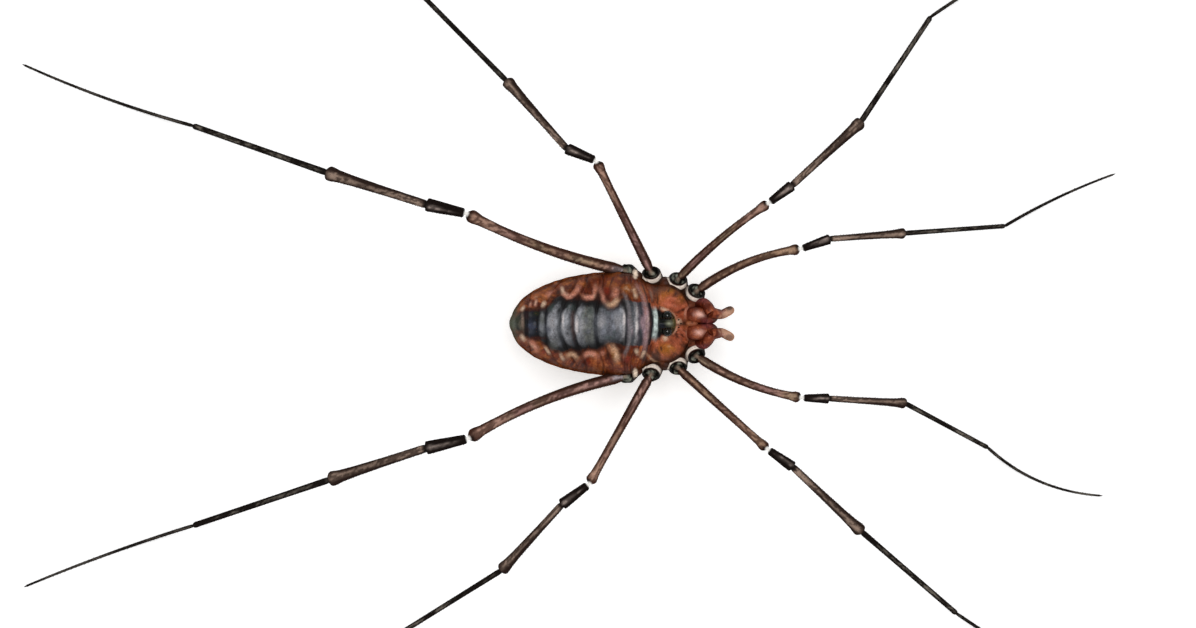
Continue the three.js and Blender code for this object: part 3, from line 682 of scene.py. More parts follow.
# Soft daubs on the back: colour, place, half sizes and strength. The white ones are painted
# highlights.
DAUBS = (
    (MAROON, -3.3, 0.36, 0.13, 0.2, 0.9), (INK, -3.0, 0.15, 0.16, 0.14, 0.9),
    (BLUE_STEEL, -3.02, -0.15, 0.22, 0.12, 0.9), (GREEN_GREY, -2.6, 0.22, 0.08, 0.34, 0.9),
    (PALE_GREY, -2.62, -0.16, 0.09, 0.18, 0.6), (INK, -2.43, 0.25, 0.06, 0.36, 0.9),
    (PALE_GREY, -2.14, 0.1, 0.22, 0.42, 0.7), (GREEN_GREY, -2.08, -0.92, 0.24, 0.24, 0.6),
    (RUST_DARK, -2.85, -0.66, 0.42, 0.1, 0.9), (RUST_DARK, -2.95, 0.62, 0.46, 0.09, 0.9),
    (BLACK, -2.36, -0.95, 0.14, 0.24, 0.8), (BLACK, -2.16, 1.12, 0.16, 0.2, 0.8),
    (BLACK, -1.62, 1.1, 0.2, 0.16, 0.7), (BLACK, -1.08, 0.88, 0.12, 0.22, 0.85),
    (BLACK, -1.05, -1.16, 0.24, 0.14, 0.6), (BLACK, -0.02, 1.0, 0.2, 0.2, 0.7),
    (HIGHLIGHT_WHITE, -1.66, 0.12, 0.06, 0.36, 0.7), (HIGHLIGHT_WHITE, -1.05, -0.06, 0.075, 0.34, 0.85),
    (HIGHLIGHT_WHITE, 1.09, 0.18, 0.06, 0.28, 0.85), (HIGHLIGHT_WHITE, 1.66, -0.16, 0.065, 0.26, 0.95),
    (SOFT_HIGHLIGHT_WHITE, 0.1, 0.1, 0.2, 0.3, 0.5), (SOFT_HIGHLIGHT_WHITE, 0.8, 0.12, 0.16, 0.36, 0.6),
    (UMBER, 1.34, 0.1, 0.06, 0.5, 0.5), (PINK, 1.44, -0.4, 0.07, 0.3, 0.5),
    (SOFT_HIGHLIGHT_WHITE, -0.8, -0.1, 0.16, 0.3, 0.5), (BLACK, 1.03, 0.86, 0.12, 0.24, 0.9),
    (BLACK, -0.5, 0.86, 0.16, 0.2, 0.85), (BLACK, 1.0, -0.98, 0.14, 0.16, 0.8),
    (BLACK, 0.1, -1.0, 0.2, 0.14, 0.6), (GLOBE_GREEN, -3.93, 0.0, 0.14, 0.32, 0.9),
    (OLIVE_DARK, -3.7, 0.18, 0.1, 0.18, 0.9), (REAR_PALE, -3.48, 0.12, 0.07, 0.34, 0.8),
    (BROWN, -3.52, -0.42, 0.16, 0.14, 0.8), (GREEN_GREY, -3.12, 0.4, 0.08, 0.1, 0.3),
    (BLACK, -2.82, 0.05, 0.06, 0.4, 0.8), (COOL_GREY, -2.93, -0.02, 0.08, 0.12, 0.6),
    (OLIVE_DARK, -2.88, 0.46, 0.14, 0.1, 0.8), (MAROON, -3.24, -0.32, 0.1, 0.16, 0.9),
    (PALE_GREY, -2.6, 0.36, 0.07, 0.14, 0.5), (BLUE_STEEL, -2.28, -0.3, 0.12, 0.2, 0.6),
    (TEAL, -2.2, 0.7, 0.16, 0.2, 0.6), (TEAL, -1.3, 0.72, 0.2, 0.16, 0.6),
    (COOL_GREY, -0.52, -0.34, 0.14, 0.14, 0.6), (TEAL, -0.42, 0.5, 0.14, 0.2, 0.6),
    (COOL_GREY, -0.62, 0.12, 0.1, 0.16, 0.6), (TEAL, 0.4, -0.62, 0.3, 0.14, 0.6),
    (SOFT_STEEL, -3.12, -0.36, 0.12, 0.12, 0.8), (SOFT_HIGHLIGHT_WHITE, -2.16, 0.04, 0.16, 0.26, 0.7),
    (SOFT_HIGHLIGHT_WHITE, 0.02, 0.0, 0.12, 0.2, 0.8), (COOL_GREY, 0.38, 0.3, 0.14, 0.2, 0.7),
    (PALE_GREY, 0.72, 0.36, 0.16, 0.2, 0.6), (SOFT_STEEL, 1.43, 0.62, 0.06, 0.3, 0.9),
    (SOFT_STEEL, 1.45, -0.62, 0.08, 0.3, 0.9), (PINK, 1.9, 0.02, 0.09, 0.3, 0.8),
    (MAUVE, 1.36, 0.0, 0.14, 0.2, 0.5), (GREY, 2.5, -0.62, 0.12, 0.2, 0.6),
    (HIGHLIGHT_WHITE, 1.66, 0.55, 0.05, 0.24, 0.6), (STEEL, 1.78, -0.5, 0.08, 0.3, 0.6),
    (RUST_DARK, -0.2, -1.98, 0.9, 0.13, 0.45), (RUST_DARK, -2.1, -1.6, 0.6, 0.1, 0.5),
    (RUST_DARK, -3.3, -1.02, 0.3, 0.09, 0.5), (RUST_DARK, -3.3, 1.06, 0.3, 0.09, 0.4),
)

# Marks on the flanks and the carapace: colour, width, strength and the line they follow
FLANK_MARKS = (
    (LOOP_PINK, 0.1, 1.0, ((-1.74, 1.66), (-1.66, 1.36), (-1.5, 1.23), (-1.34, 1.22),
        (-1.14, 1.34), (-1.02, 1.52), (-0.92, 1.8))),
    (CREAM, 0.08, 0.7, ((-1.7, 1.58), (-1.66, 1.4))),
    (RUST_DARK, 0.12, 0.85, ((-1.4, 1.8), (-1.31, 1.46))),
    (LOOP_PINK, 0.098, 1.0, ((-0.84, 1.3), (-0.74, 1.2), (-0.5, 1.17), (-0.26, 1.22), (-0.2, 1.46),
        (-0.2, 1.82))),
    (RUST_DARK, 0.12, 0.6, ((-0.58, 1.74), (-0.48, 1.42))),
    (LOOP_PINK, 0.098, 0.95, ((0.02, 1.66), (0.06, 1.3), (0.18, 1.02), (0.3, 0.9))),
    (LOOP_TAN, 0.112, 1.0, ((0.24, 0.95), (0.46, 0.79), (0.7, 0.95), (0.88, 1.28))),
    (LOOP_PINK, 0.16, 0.85, ((0.62, 1.68), (0.68, 1.36), (0.64, 1.12))),
    (BLOOD, 0.13, 0.9, ((0.34, 1.72), (0.33, 1.26))),
    (LINE_AND_EDGE_SHADE_BROWN, 0.09, 0.85, ((-1.92, 1.56), (-1.86, 1.24))),
    (LINE_AND_EDGE_SHADE_BROWN, 0.08, 0.85, ((-0.96, 1.3), (-0.93, 1.02))),
    (LINE_AND_EDGE_SHADE_BROWN, 0.09, 0.85, ((-0.08, 1.5), (-0.06, 1.0))),
    (LINE_AND_EDGE_SHADE_BROWN, 0.09, 0.8, ((0.98, 1.44), (1.0, 1.02))),
    (CREAM, 0.075, 0.8, ((-3.5, 0.64), (-3.42, 0.72))),
    (LOOP_PINK, 0.07, 0.75, ((-3.16, 0.8), (-3.12, 0.9))),
    (LOOP_PINK, 0.066, 0.9, ((-2.9, 0.82), (-2.86, 1.02))),
    (CREAM, 0.08, 0.85, ((-2.58, 0.8), (-2.5, 0.94))),
    (LOOP_PINK, 0.08, 0.65, ((-2.48, 1.14), (-2.3, 1.34), (-2.1, 1.5))),
    (RUST_LIGHT, 0.09, 0.7, ((-3.0, 1.16), (-2.8, 1.3))),
    (ORANGE, 0.2, 0.95, ((1.0, 1.7), (1.25, 1.56), (1.4, 1.4))),
    (LOOP_TAN, 0.1, 0.85, ((1.5, 1.62), (1.56, 1.34))),
    (CREAM, 0.08, 0.75, ((1.57, 1.34), (1.6, 1.2))),
    (CREAM, 0.085, 0.8, ((-3.52, -0.56), (-3.4, -0.72))),
    (LOOP_PINK, 0.11, 0.85, ((-3.3, -0.76), (-3.08, -0.86), (-2.92, -1.02), (-2.78, -1.34))),
    (CREAM, 0.05, 0.85, ((-2.52, -0.98), (-2.38, -1.18), (-2.22, -1.42))),
    (BLOOD, 0.12, 0.6, ((-2.66, -1.2), (-2.46, -1.4))),
    (CREAM, 0.065, 0.75, ((-1.8, -1.3), (-1.72, -1.5), (-1.6, -1.7))),
    (LOOP_TAN, 0.105, 0.95, ((-1.5, -1.6), (-1.44, -1.43), (-1.26, -1.36), (-1.06, -1.45),
        (-0.98, -1.66))),
    (LOOP_PINK, 0.112, 1.0, ((-0.8, -1.56), (-0.66, -1.4), (-0.42, -1.34), (-0.18, -1.42),
        (-0.1, -1.62))),
    (BLOOD, 0.13, 0.6, ((-0.5, -1.62), (-0.42, -1.82))),
    (LOOP_PINK, 0.12, 0.6, ((0.06, -1.2), (0.16, -1.46))),
    (LOOP_TAN, 0.14, 1.0, ((0.38, -0.94), (0.58, -1.1), (0.74, -1.36), (0.74, -1.8))),
    (OCHRE, 0.07, 0.6, ((0.58, -1.24), (0.6, -1.6))),
    (LINE_AND_EDGE_SHADE_BROWN, 0.08, 0.8, ((-0.92, -1.2), (-0.92, -1.5))),
    (LINE_AND_EDGE_SHADE_BROWN, 0.08, 0.7, ((0.3, -1.2), (0.34, -1.7))),
    (LINE_AND_EDGE_SHADE_BROWN, 0.08, 0.8, ((0.94, -1.1), (0.98, -1.4))),
    (RED, 0.14, 0.8, ((1.12, -1.5), (1.36, -1.66))),
    (CREAM, 0.09, 0.8, ((1.62, -1.2), (1.68, -1.32))),
    (STRIPE_PALE, 0.075, 0.45, ((1.05, -1.6), (1.15, -1.3), (1.28, -0.95), (1.33, -0.5), (1.34, 0),
        (1.33, 0.5), (1.16, 1.2), (1.0, 1.5))),
    (STRIPE_PINK, 0.09, 0.65, ((1.62, 1.86), (1.78, 1.5), (1.98, 1.12), (2.1, 0.5), (2.14, 0),
        (2.1, -0.5), (1.98, -1.2), (1.86, -1.55))),
    (CREAM, 0.065, 0.8, ((1.86, -1.5), (1.98, -1.3))),
)
FRONT_MARKS = (
    (SALMON, 0.07, 0.7, ((2.72, 0.98), (3.1, 0.84), (3.5, 0.74))),
    (CARAPACE_DARK, 0.07, 0.55, ((3.24, 0.56), (3.5, 0.46), (3.74, 0.6))),
    (SALMON, 0.055, 0.7, ((3.46, -0.12), (3.72, -0.32), (3.84, -0.6))),
    (OCHRE_LIGHT, 0.08, 0.7, ((2.78, -0.95), (3.16, -1.04), (3.46, -1.26))),
    (CARAPACE_DARK, 0.08, 0.5, ((3.1, -0.7), (3.28, -0.8), (3.36, -0.98))),
    (CARAPACE_DARK, 0.09, 0.6, ((2.58, 1.24), (2.72, 1.44), (3.0, 1.56))),
    (CARAPACE_DARK, 0.08, 0.6, ((2.5, -0.98), (2.54, -1.3), (2.72, -1.5))),
    (SALMON, 0.06, 0.55, ((2.98, 1.18), (3.3, 1.14), (3.56, 1.02))),
    (LINE_AND_EDGE_SHADE_BROWN, 0.08, 0.85, ((1.92, -1.45), (2.08, -1.7), (2.3, -1.86))),
    (LOOP_TAN, 0.05, 0.6, ((2.02, -1.22), (2.2, -1.5), (2.45, -1.7), (2.78, -1.8))),
    (CARAPACE_DARK, 0.1, 0.95, ((2.2, -1.05), (2.36, -1.44), (2.7, -1.68))),
    (CARAPACE_DARK, 0.05, 0.7, ((2.44, -1.0), (2.6, -1.34), (2.86, -1.54))),
    (REAR_PALE, 0.045, 0.65, ((2.2, 1.6), (2.34, 1.25), (2.34, 0.92))),
    (CARAPACE_DARK, 0.08, 0.9, ((2.34, 1.66), (2.48, 1.25), (2.46, 0.85))),
    (SALMON, 0.06, 0.5, ((3.5, -0.34), (3.62, -0.62), (3.56, -0.86))),
    (CARAPACE_DARK, 0.06, 0.6, ((3.36, -0.36), (3.44, -0.6), (3.4, -0.8))),
    (BLOOD, 0.1, 0.5, ((3.62, 0.42), (3.6, 0.2))),
    (CARAPACE_DARK, 0.07, 0.6, ((3.5, 1.16), (3.72, 1.02), (3.9, 0.98))),
    (CREAM, 0.07, 0.85, ((2.7, 0.74), (2.88, 0.62), (3.12, 0.56))),
    (CREAM, 0.04, 0.35, ((3.12, 0.56), (3.32, 0.42), (3.46, 0.2))),
    (CREAM, 0.1, 0.9, ((3.46, 0.22), (3.54, 0.1), (3.5, -0.04))),
    (CREAM, 0.045, 0.45, ((3.5, -0.05), (3.42, -0.3), (3.2, -0.52))),
    (CREAM, 0.11, 1.0, ((3.06, -0.6), (2.94, -0.64), (2.8, -0.72))),
    # Painted highlight: two pale pink lines along the carapace's front edge
    (LOOP_PINK, 0.06, 0.9, ((4.2, 0.96), (3.98, 0.74), (3.84, 0.56), (3.82, 0.16))),
    (LOOP_PINK, 0.05, 0.6, ((4.15, -0.85), (3.95, -0.68), (3.86, -0.4), (3.86, -0.16))),
)
CARAPACE_PATCHES = (
    (ORANGE, 2.85, 1.3, 0.3), (CARAPACE_RED, 3.12, 0.98, 0.26), (ORANGE, 3.65, 1.15, 0.22),
    (CARAPACE_RED, 3.58, 0.62, 0.22), (CARAPACE_RED, 3.58, -0.56, 0.28),
    (CARAPACE_RED, 3.24, -0.94, 0.22), (OCHRE, 3.1, -1.16, 0.22), (ORANGE, 2.82, -1.18, 0.24),
    (OCHRE, 3.2, 1.5, 0.16), (BROWN, 3.78, 0.0, 0.14), (CARAPACE_DARK, 3.95, 1.0, 0.14),
    (CARAPACE_DARK, 3.86, -1.02, 0.17), (BROWN, 2.52, 1.5, 0.2), (BROWN, 2.5, -1.45, 0.24),
    (CARAPACE_DARK, 3.35, -1.46, 0.17), (CARAPACE_DARK, 3.42, 1.3, 0.12),
)


def rounded(line, rounds=2):
    """A line with its corners cut off, so that it bends smoothly."""
    line = np.array(line, dtype=float)
    for _ in range(rounds):
        if len(line) < 3:
            break
        first = line[:-1] * 0.75 + line[1:] * 0.25
        second = line[:-1] * 0.25 + line[1:] * 0.75
        inner = columns(first, second).reshape(-1, 2)[1:-1]
        line = np.vstack([line[:1], inner, line[-1:]])
    return line


def line_distance(points, line):
    """Distance to a line, seen from above, and a weight that falls towards the line's ends."""
    line = rounded(line)
    nearest = np.full(len(points), 1e9)
    along_line = np.zeros(len(points))
    run = 0.0
    for start, end in zip(line[:-1], line[1:]):
        along = end - start
        share = np.clip((points - start) @ along / (along @ along), 0, 1)
        gap = np.linalg.norm(points - (start + share[:, None] * along), axis=1)
        length = np.linalg.norm(along)
        along_line = np.where(gap < nearest, run + share * length, along_line)
        nearest = np.minimum(nearest, gap)
        run += length
    ends = np.minimum(along_line, run - along_line) / max(min(run * 0.4, 0.35), 0.02)
    floor = 0.7 if run < 0.25 else 0.12
    return nearest, np.clip(floor + ends, 0, 1)


def stripe_bow(x, y):
    """How far a stripe of the back is drawn forward or back at a point beside the midline."""
    return stops_at(x, STRIPE_BOW) * np.minimum((y / BOW_HALF_WIDTH) ** 2, BOW_LIMIT)


def stripe_colours(u):
    marks, shades = (np.array(column) for column in zip(*STRIPES))
    return columns(*(np.interp(u, marks, shades[:, channel]) for channel in range(3)))


def hip_distance(points):
    """Distance to the nearest hip socket's axis, and how far the point lies on its body side."""
    nearest = np.full(len(points), 1e9)
    inward = np.zeros(len(points))
    for facing, pair in zip(RIM_FACING, LEG_PAIRS):
        for side in (1, -1):
            gap = points - hip_point(pair, side)
            axis = socket_axis(side)
            aside = gap - np.maximum(gap @ axis, 0)[:, None] * axis
            flat = np.linalg.norm(aside, axis=1)
            towards = np.array((facing[0], -side * facing[1], 0))
            closer = flat < nearest
            nearest = np.where(closer, flat, nearest)
            inward = np.where(closer, (aside @ towards) / np.maximum(flat, 1e-6), inward)
    return nearest, inward


def coxa_creases(points, normals):
    """How near a point of the underside lies to the crease between two coxae, from 0 to 1."""
    beside = np.abs(points[:, 1])
    flat = np.stack([points[:, 0], beside], axis=1)
    gaps = []
    for pair in LEG_PAIRS:
        start = np.array(pair["coxa"][:2])
        run = np.array(pair["hip"]) - start
        share = np.clip((flat - start) @ run / (run @ run), 0, 1)
        gaps.append(np.linalg.norm(flat - (start + share[:, None] * run), axis=1))
    nearest, second = np.sort(np.array(gaps), axis=0)[:2]
    crease = bell(second - nearest, 0.1) * ramp(0.8, 0.55, nearest)
    crease *= ramp(0.3, 0.5, beside) * ramp(4.0, 3.6, points[:, 2])
    return crease * ramp(0.1, -0.3, normals[:, 2])


def body_relief(points, normals):
    """Seams, folds, creases, rims and fine grain, as a move along the normals."""
    x, y, z = points.T
    up = normals[:, 2]
    u = x + stripe_bow(x, y)
    back = ramp(-0.1, 0.35, up) * ramp(3.7, 4.6, z)
    tubercle = np.linalg.norm((points - tubercle_centre()) / (0.46, 0.56, 0.6), axis=1)
    plain = ramp(0.95, 1.15, tubercle)
    relief = np.zeros(len(points))
    for seam in ABDOMEN_SEAMS + THORAX_SEAMS:
        gap = (u - seam) / SEAM_WIDTH
        relief -= SEAM_DEPTH * np.exp(-gap ** 2) * back * plain
        relief += SEAM_DEPTH * 0.35 * bell(np.abs(gap) - 2.2, 1.1) * back * plain
    flank = ramp(0.55, 0.2, np.abs(up)) * ramp(1.6, 1.0, x)
    fold = (z - 4.05 - 0.12 * np.sin(x * 2.2)) / 0.09
    relief -= 0.05 * np.exp(-fold ** 2) * ramp(1.5, 1.0, x) * ramp(-3.9, -3.5, x)
    relief += 0.006 * np.sin((x + 0.2 * y) * 11.0) * flank
    belly = ramp(-0.2, -0.6, up)
    for seam in ABDOMEN_SEAMS[:-1]:
        relief -= SEAM_DEPTH * 0.7 * bell(x - seam - BELLY_SHIFT, 0.06) * belly
    relief -= 0.05 * coxa_creases(points, normals)
    relief += 0.014 * noise(points, 0.42, 3, 2) * (0.4 + 0.6 * plain)
    relief += 0.0055 * cell_noise(points, 0.075, 5) * (0.5 + 0.5 * back)
    for _, width, strength, line in FLANK_MARKS:
        gap, ends = line_distance(points[:, :2], line)
        relief += 0.004 * strength * ends * bell(gap, width * 1.2) * back
    distance, inward = hip_distance(points)
    lip = bell(distance - 0.5, 0.07) * ramp(0.0, 0.5, inward)
    relief += 0.04 * lip * ramp(4.3, 4.7, z)
    return points + normals * relief[:, None]


def flank_coat(points, up, u, share, large, small):
    """Rust, with light and dark streaks that run outward and arcs at the front, and painted shade: a
    dark outline at the edge and darker steep sides.
    """
    x, y, _ = points.T
    half_length, half_wide = BODY_HALF
    fan = np.arctan2(y / half_wide, (x + 0.1) / half_length)
    reach = np.hypot(x / half_length, y / half_wide)
    streak = noise(columns(fan * 9.0, reach * 1.4, 0 * x), 0.42, 101)
    arcs = noise(columns(u * 1.6, y * 0.35, 0 * x), 0.22, 121)
    forward = ramp(0.9, 1.5, u)
    streak = streak * (1 - forward) + arcs * forward
    patches = noise(points, 0.36, 41, 2)
    coat = Coat(RUST, points)
    coat.lay(ORANGE, ramp(0.0, 0.55, patches) * 0.6)
    coat.lay(MAROON_FLANK, ramp(0.05, 0.55, -patches) * 0.7)
    coat.lay(RUST_LIGHT, ramp(0.05, 0.55, streak + 0.4 * small) * 0.85)
    coat.lay(RUST_DARK, ramp(0.0, 0.5, -streak - 0.3 * large) * 0.9)
    for seam in ABDOMEN_SEAMS:
        coat.lay(RUST_DARK, bell(u - seam, 0.07) * 0.6)
    # Painted shade: darker towards the body's edge, as seen from above
    coat.lay(LINE_AND_EDGE_SHADE_BROWN, ramp(0.86, 0.96, share + 0.08 * small) * 0.5)
    # Painted shade: the steep sides are darkened
    steep = ramp(0.5, 0.2, up)
    coat.lay(SHADE_BROWN, steep * np.clip(0.8 + 0.5 * large + 0.4 * small, 0, 1))
    dapple = ramp(0.2, 0.5, cell_noise(points * (1.2, 1, 1), 0.26, 191))
    coat.lay(RUST_LIGHT, steep * dapple * 0.4)
    for seam in ABDOMEN_SEAMS:
        coat.lay(RUST_DARK, bell(x - seam, 0.06) * steep * 0.5)
    return coat


def carapace_coat(points, share, large, small):
    """Orange and red fields with dark brown between them, brushed outward, and painted shade towards
    the edge.
    """
    x, y, _ = points.T
    coat = Coat(CARAPACE, points)
    for colour, at_x, at_y, size in CARAPACE_PATCHES:
        coat.lay(colour, np.exp(-((x - at_x) ** 2 + (y - at_y) ** 2) / size ** 2) * 0.95)
    turn = np.arctan2(y, x - 2.6)
    away = np.hypot(x - 2.6, y)
    brush = noise(columns(turn * 2.4, away * 0.6, 0 * x), 0.26, 111, 4)
    coat.lay(CARAPACE_DARK, ramp(0.08, 0.5, brush + 0.25 * large) * 0.85)
    coat.lay(CARAPACE_LIGHT, ramp(0.05, 0.55, -brush - 0.3 * small) * 0.75)
    # Painted shade: darker towards the carapace's edge
    return coat.lay(LINE_AND_EDGE_SHADE_BROWN, ramp(0.8, 0.96, share) * 0.75)


def lay_saddle(coat, points, u, carapace, small, blotch, grain):
    """The dark saddle with its stripes. Its edge is blackest at the seams."""
    x, y, _ = points.T
    beside, left = np.abs(y), y > 0
    half = np.where(left, stops_at(x, SADDLE_LEFT), stops_at(x, SADDLE_RIGHT)) + 0.06 * small
    wander = noise(columns(x * 0.4, y, 0 * x), 0.3, 131, 2)
    stripes = Coat(stripe_colours(u + 0.012 * small + 0.04 * wander), points)
    dull = ramp(0.0, 0.6, noise(points, 0.4, 161, 2))
    stripes.lay(GREY, dull * ramp(0.16, 0.4, stripes.tones[:, 1]) * 0.55)
    strokes = noise(columns(u, y * 0.2, 0 * x), 0.06, 171, 2)
    shade = 1.05 + 0.75 * blotch + 0.35 * small + 0.25 * grain + 0.35 * strokes
    stripes.shade(np.clip(shade, 0.25, 1.7))
    fading = np.where(left, 0.28 * ramp(0.1, 0.8, beside), 0.4 * ramp(0.05, 0.7, beside))
    stripes.shade(1 - fading * ramp(2.3, 2.1, u))
    margin = ramp(0.55, 1.05, beside) * ramp(1.15, 0.95, u)
    stripes.lay(SOFT_STEEL, margin * np.where(left, 0.35, 0.5))
    stripes.lay(BLUE_STEEL, ramp(0.1, 0.6, wander) * ramp(-2.5, -2.9, u) * 0.6)
    teal = ramp(0.1, 0.7, noise(points, 0.2, 51, 2)) * ramp(-1.1, -0.9, u) * 0.5
    stripes.lay(TEAL, teal * ramp(1.0, 0.8, u))
    teeth = sum(bell(u - seam, 0.13) for seam in ABDOMEN_SEAMS)
    stripes.lay(INK, np.clip(teeth, 0, 1) ** 3 * ramp(0.3, 0.75, beside) * 0.7)
    start = np.where(left, 0.4 + 0.5 * teeth, 0.3 + 0.34 * teeth)
    end = np.where(left, 0.18 + 0.3 * teeth, 0.07 + 0.14 * teeth)
    edge = ramp(half - start, half - end, beside + 0.1 * blotch) * stops_at(x, SADDLE_EDGE)
    stripes.lay(BLACK, edge * 0.95)
    stripes.lay(carapace, ramp(0.55, 0.86, beside) * ramp(2.33, 2.4, u))
    coat.lay(LINE_AND_EDGE_SHADE_BROWN, bell(beside - half - 0.04, 0.08) * ramp(1.0, 0.8, x) * 0.85)
    coat.lay(REAR_GREEN, ramp(-3.5, -3.85, x) * 0.8)
    coat.lay(stripes, ramp(half + 0.035, half - 0.035, beside) * ramp(2.86, 2.72, u))


def lay_marks(coat, points, u, small, blotch, grain):
    """The daubs and lines of the back, with worn edges and a shadow beside the bright ones."""
    x, y, _ = points.T
    worn = 0.3 * small + 0.3 * blotch
    for colour, at_x, at_y, half_x, half_y, strength in DAUBS:
        reach = np.hypot((x - at_x) / half_x, (y - at_y) / half_y) + worn
        coat.lay(colour, ramp(1.5, 0.2, reach) * strength * (0.85 + 0.3 * grain))
    bar = ramp(0.055, 0.02, np.abs(u - SADDLE_FRONT)) * ramp(2.0, 1.5, np.abs(y))
    coat.lay(MAROON, bar * 0.8)
    vary = noise(points, 0.22, 151, 2)
    for colour, wide, strength, line in FLANK_MARKS + FRONT_MARKS:
        gap, ends = line_distance(points[:, :2], line)
        gap = gap + wide * (0.35 * small + 0.35 * vary)
        shadow = ramp(wide * 3.0, wide * 1.0, gap) * ramp(0.6, 0.85, strength) * ends * 0.55
        coat.lay(RUST_DARK, shadow * ramp(2.3, 2.0, x))
        weight = ramp(wide * 1.9, wide * -0.05, gap) * strength * ends
        bright = 0.45 if colour[0] > CARAPACE[0] else 0
        tone = Coat(colour, points).lay(CREAM, ramp(0.0, 0.6, vary) * bright)
        tone.lay(RUST_LIGHT, ramp(0.0, 0.6, -vary) * bright)
        coat.lay(tone, weight * np.clip(0.85 + 0.3 * grain, 0, 1))


def lay_tubercle(coat, points, small):
    """The eye tubercle: black, olive in front, a painted pale highlight in the furrow, with a black
    foot round it.
    """
    x, y, _ = points.T
    beside = np.abs(y)
    tubercle = np.linalg.norm((points - tubercle_centre()) / (0.43, 0.53, 0.56), axis=1)
    black = Coat(BLACK, points).lay(OLIVE_DARK, ramp(0.0, 0.8, small) * 0.5)
    front = ramp(3.08, 3.34, x + 0.1 * small) * ramp(0.75, 0.98, tubercle)
    black.lay(OLIVE, front * (0.75 + 0.4 * small))
    black.lay(BROWN_AND_CUP_SHADE, front * ramp(0.14, 0.32, beside) * 0.75)
    # Painted highlight at the front of the furrow between the eyes
    black.lay(FURROW_HIGHLIGHT, np.exp(-((x - 3.1) / 0.13) ** 2 - ((y - 0.01) / 0.11) ** 2) * 0.85)
    black.lay(BLUE_STEEL, np.exp(-((x - 2.78) / 0.14) ** 2 - ((y + 0.1) / 0.16) ** 2) * 0.3)
    coat.lay(black, ramp(1.12, 1.02, tubercle))
    ragged = 0.04 * small
    foot = ramp(2.58, 2.66, x + ragged) * ramp(3.16, 3.04, x) * ramp(0.58, 0.48, beside + ragged)
    coat.lay(BLACK, foot * 0.92 * ramp(1.0, 1.1, tubercle))


def lay_underside(coat, points, normals, large, small):
    """The pale belly with brown spots, dark lines in its seams, and painted shade in the creases
    between the coxae.
    """
    x, y, z = points.T
    downward = np.maximum(ramp(0.35, -0.15, normals[:, 2]), ramp(3.7, 3.4, z))
    belly = Coat(BELLY, points).lay(BROWN, ramp(0.1, 0.8, small) * 0.5)
    spots = ramp(0.3, 0.6, cell_noise(points * (1, 1.3, 1), 0.2, 181))
    belly.lay(BROWN, spots * ramp(0.1, 0.5, np.abs(y)) * 0.55)
    # Painted shade in the creases between the coxae
    belly.lay(SHADE_BROWN, coxa_creases(points, normals) * 0.8)
    for seam in ABDOMEN_SEAMS[:-1]:
        belly.lay(RUST_DARK, bell(x - seam - BELLY_SHIFT, 0.07) * 0.5)
    coat.lay(belly, ramp(4.25, 3.75, z + 0.3 * large + 0.14 * small) * downward)


def lay_hips(coat, points, small, grain):
    """Painted shade as dark cups round the hips, black socket walls and a dark band beside the rims;
    brown cheeks, cream rims and the pads behind them.
    """
    x, y, z = points.T
    beside = np.abs(y)
    distance, inward = hip_distance(points)
    cheek = ramp(3.8, 4.0, x) * ramp(1.12, 0.98, beside) * ramp(4.0, 4.3, z)
    brushed = Coat(CHEEK_BROWN, points).lay(RUST_DARK, ramp(0.0, 0.5, -small) * 0.7)
    coat.lay(brushed, cheek * ramp(3.9, 4.1, x) * 0.8)
    # Painted shade: dark cups round the hip sockets
    cup = ramp(0.8, 0.56, distance) * ramp(5.2, 4.8, z) * ramp(0.8, 1.1, x) * (1 - 0.8 * cheek)
    dark = Coat(BROWN_AND_CUP_SHADE, points).lay(RUST_DARK, ramp(0.0, 0.8, small) * 0.5)
    coat.lay(dark, cup * ramp(3.2, 3.9, z))
    palp_base = np.linalg.norm(columns(x, beside, z) - PALP_JOINTS[0], axis=1)
    # Painted shade: the socket walls are painted black
    wall_shade = ramp(0.42, 0.39, distance) * ramp(0.3, 0.6, x) * ramp(0.3, 0.38, palp_base)
    coat.lay(BLACK, wall_shade)
    facing = ramp(-0.1, 0.4, inward)
    # Painted shade: a dark band beside each rim, on the body side
    coat.lay(CARAPACE_DARK, ramp(0.75, 0.6, distance) * facing * ramp(4.3, 4.7, z) * 0.6)
    rim = ramp(0.512, 0.48, distance) * ramp(0.385, 0.41, distance) * facing
    rim *= ramp(4.2, 4.5, z) * ramp(1.62, 1.74, x)
    coat.lay(RIM_CREAM, rim * (0.9 + 0.1 * grain))
    bare = np.hypot((x - PAD["x"]) / PAD["half"][0], (beside - PAD["out"]) / PAD["half"][1])
    pad = Coat(PAD_CREAM, points).lay(LOOP_TAN, np.clip((z - 4.9) / 0.9, 0, 1) * 0.5)
    coat.lay(pad, ramp(1.2, 0.5, bare + 0.2 * small) * ramp(4.3, 4.55, z))


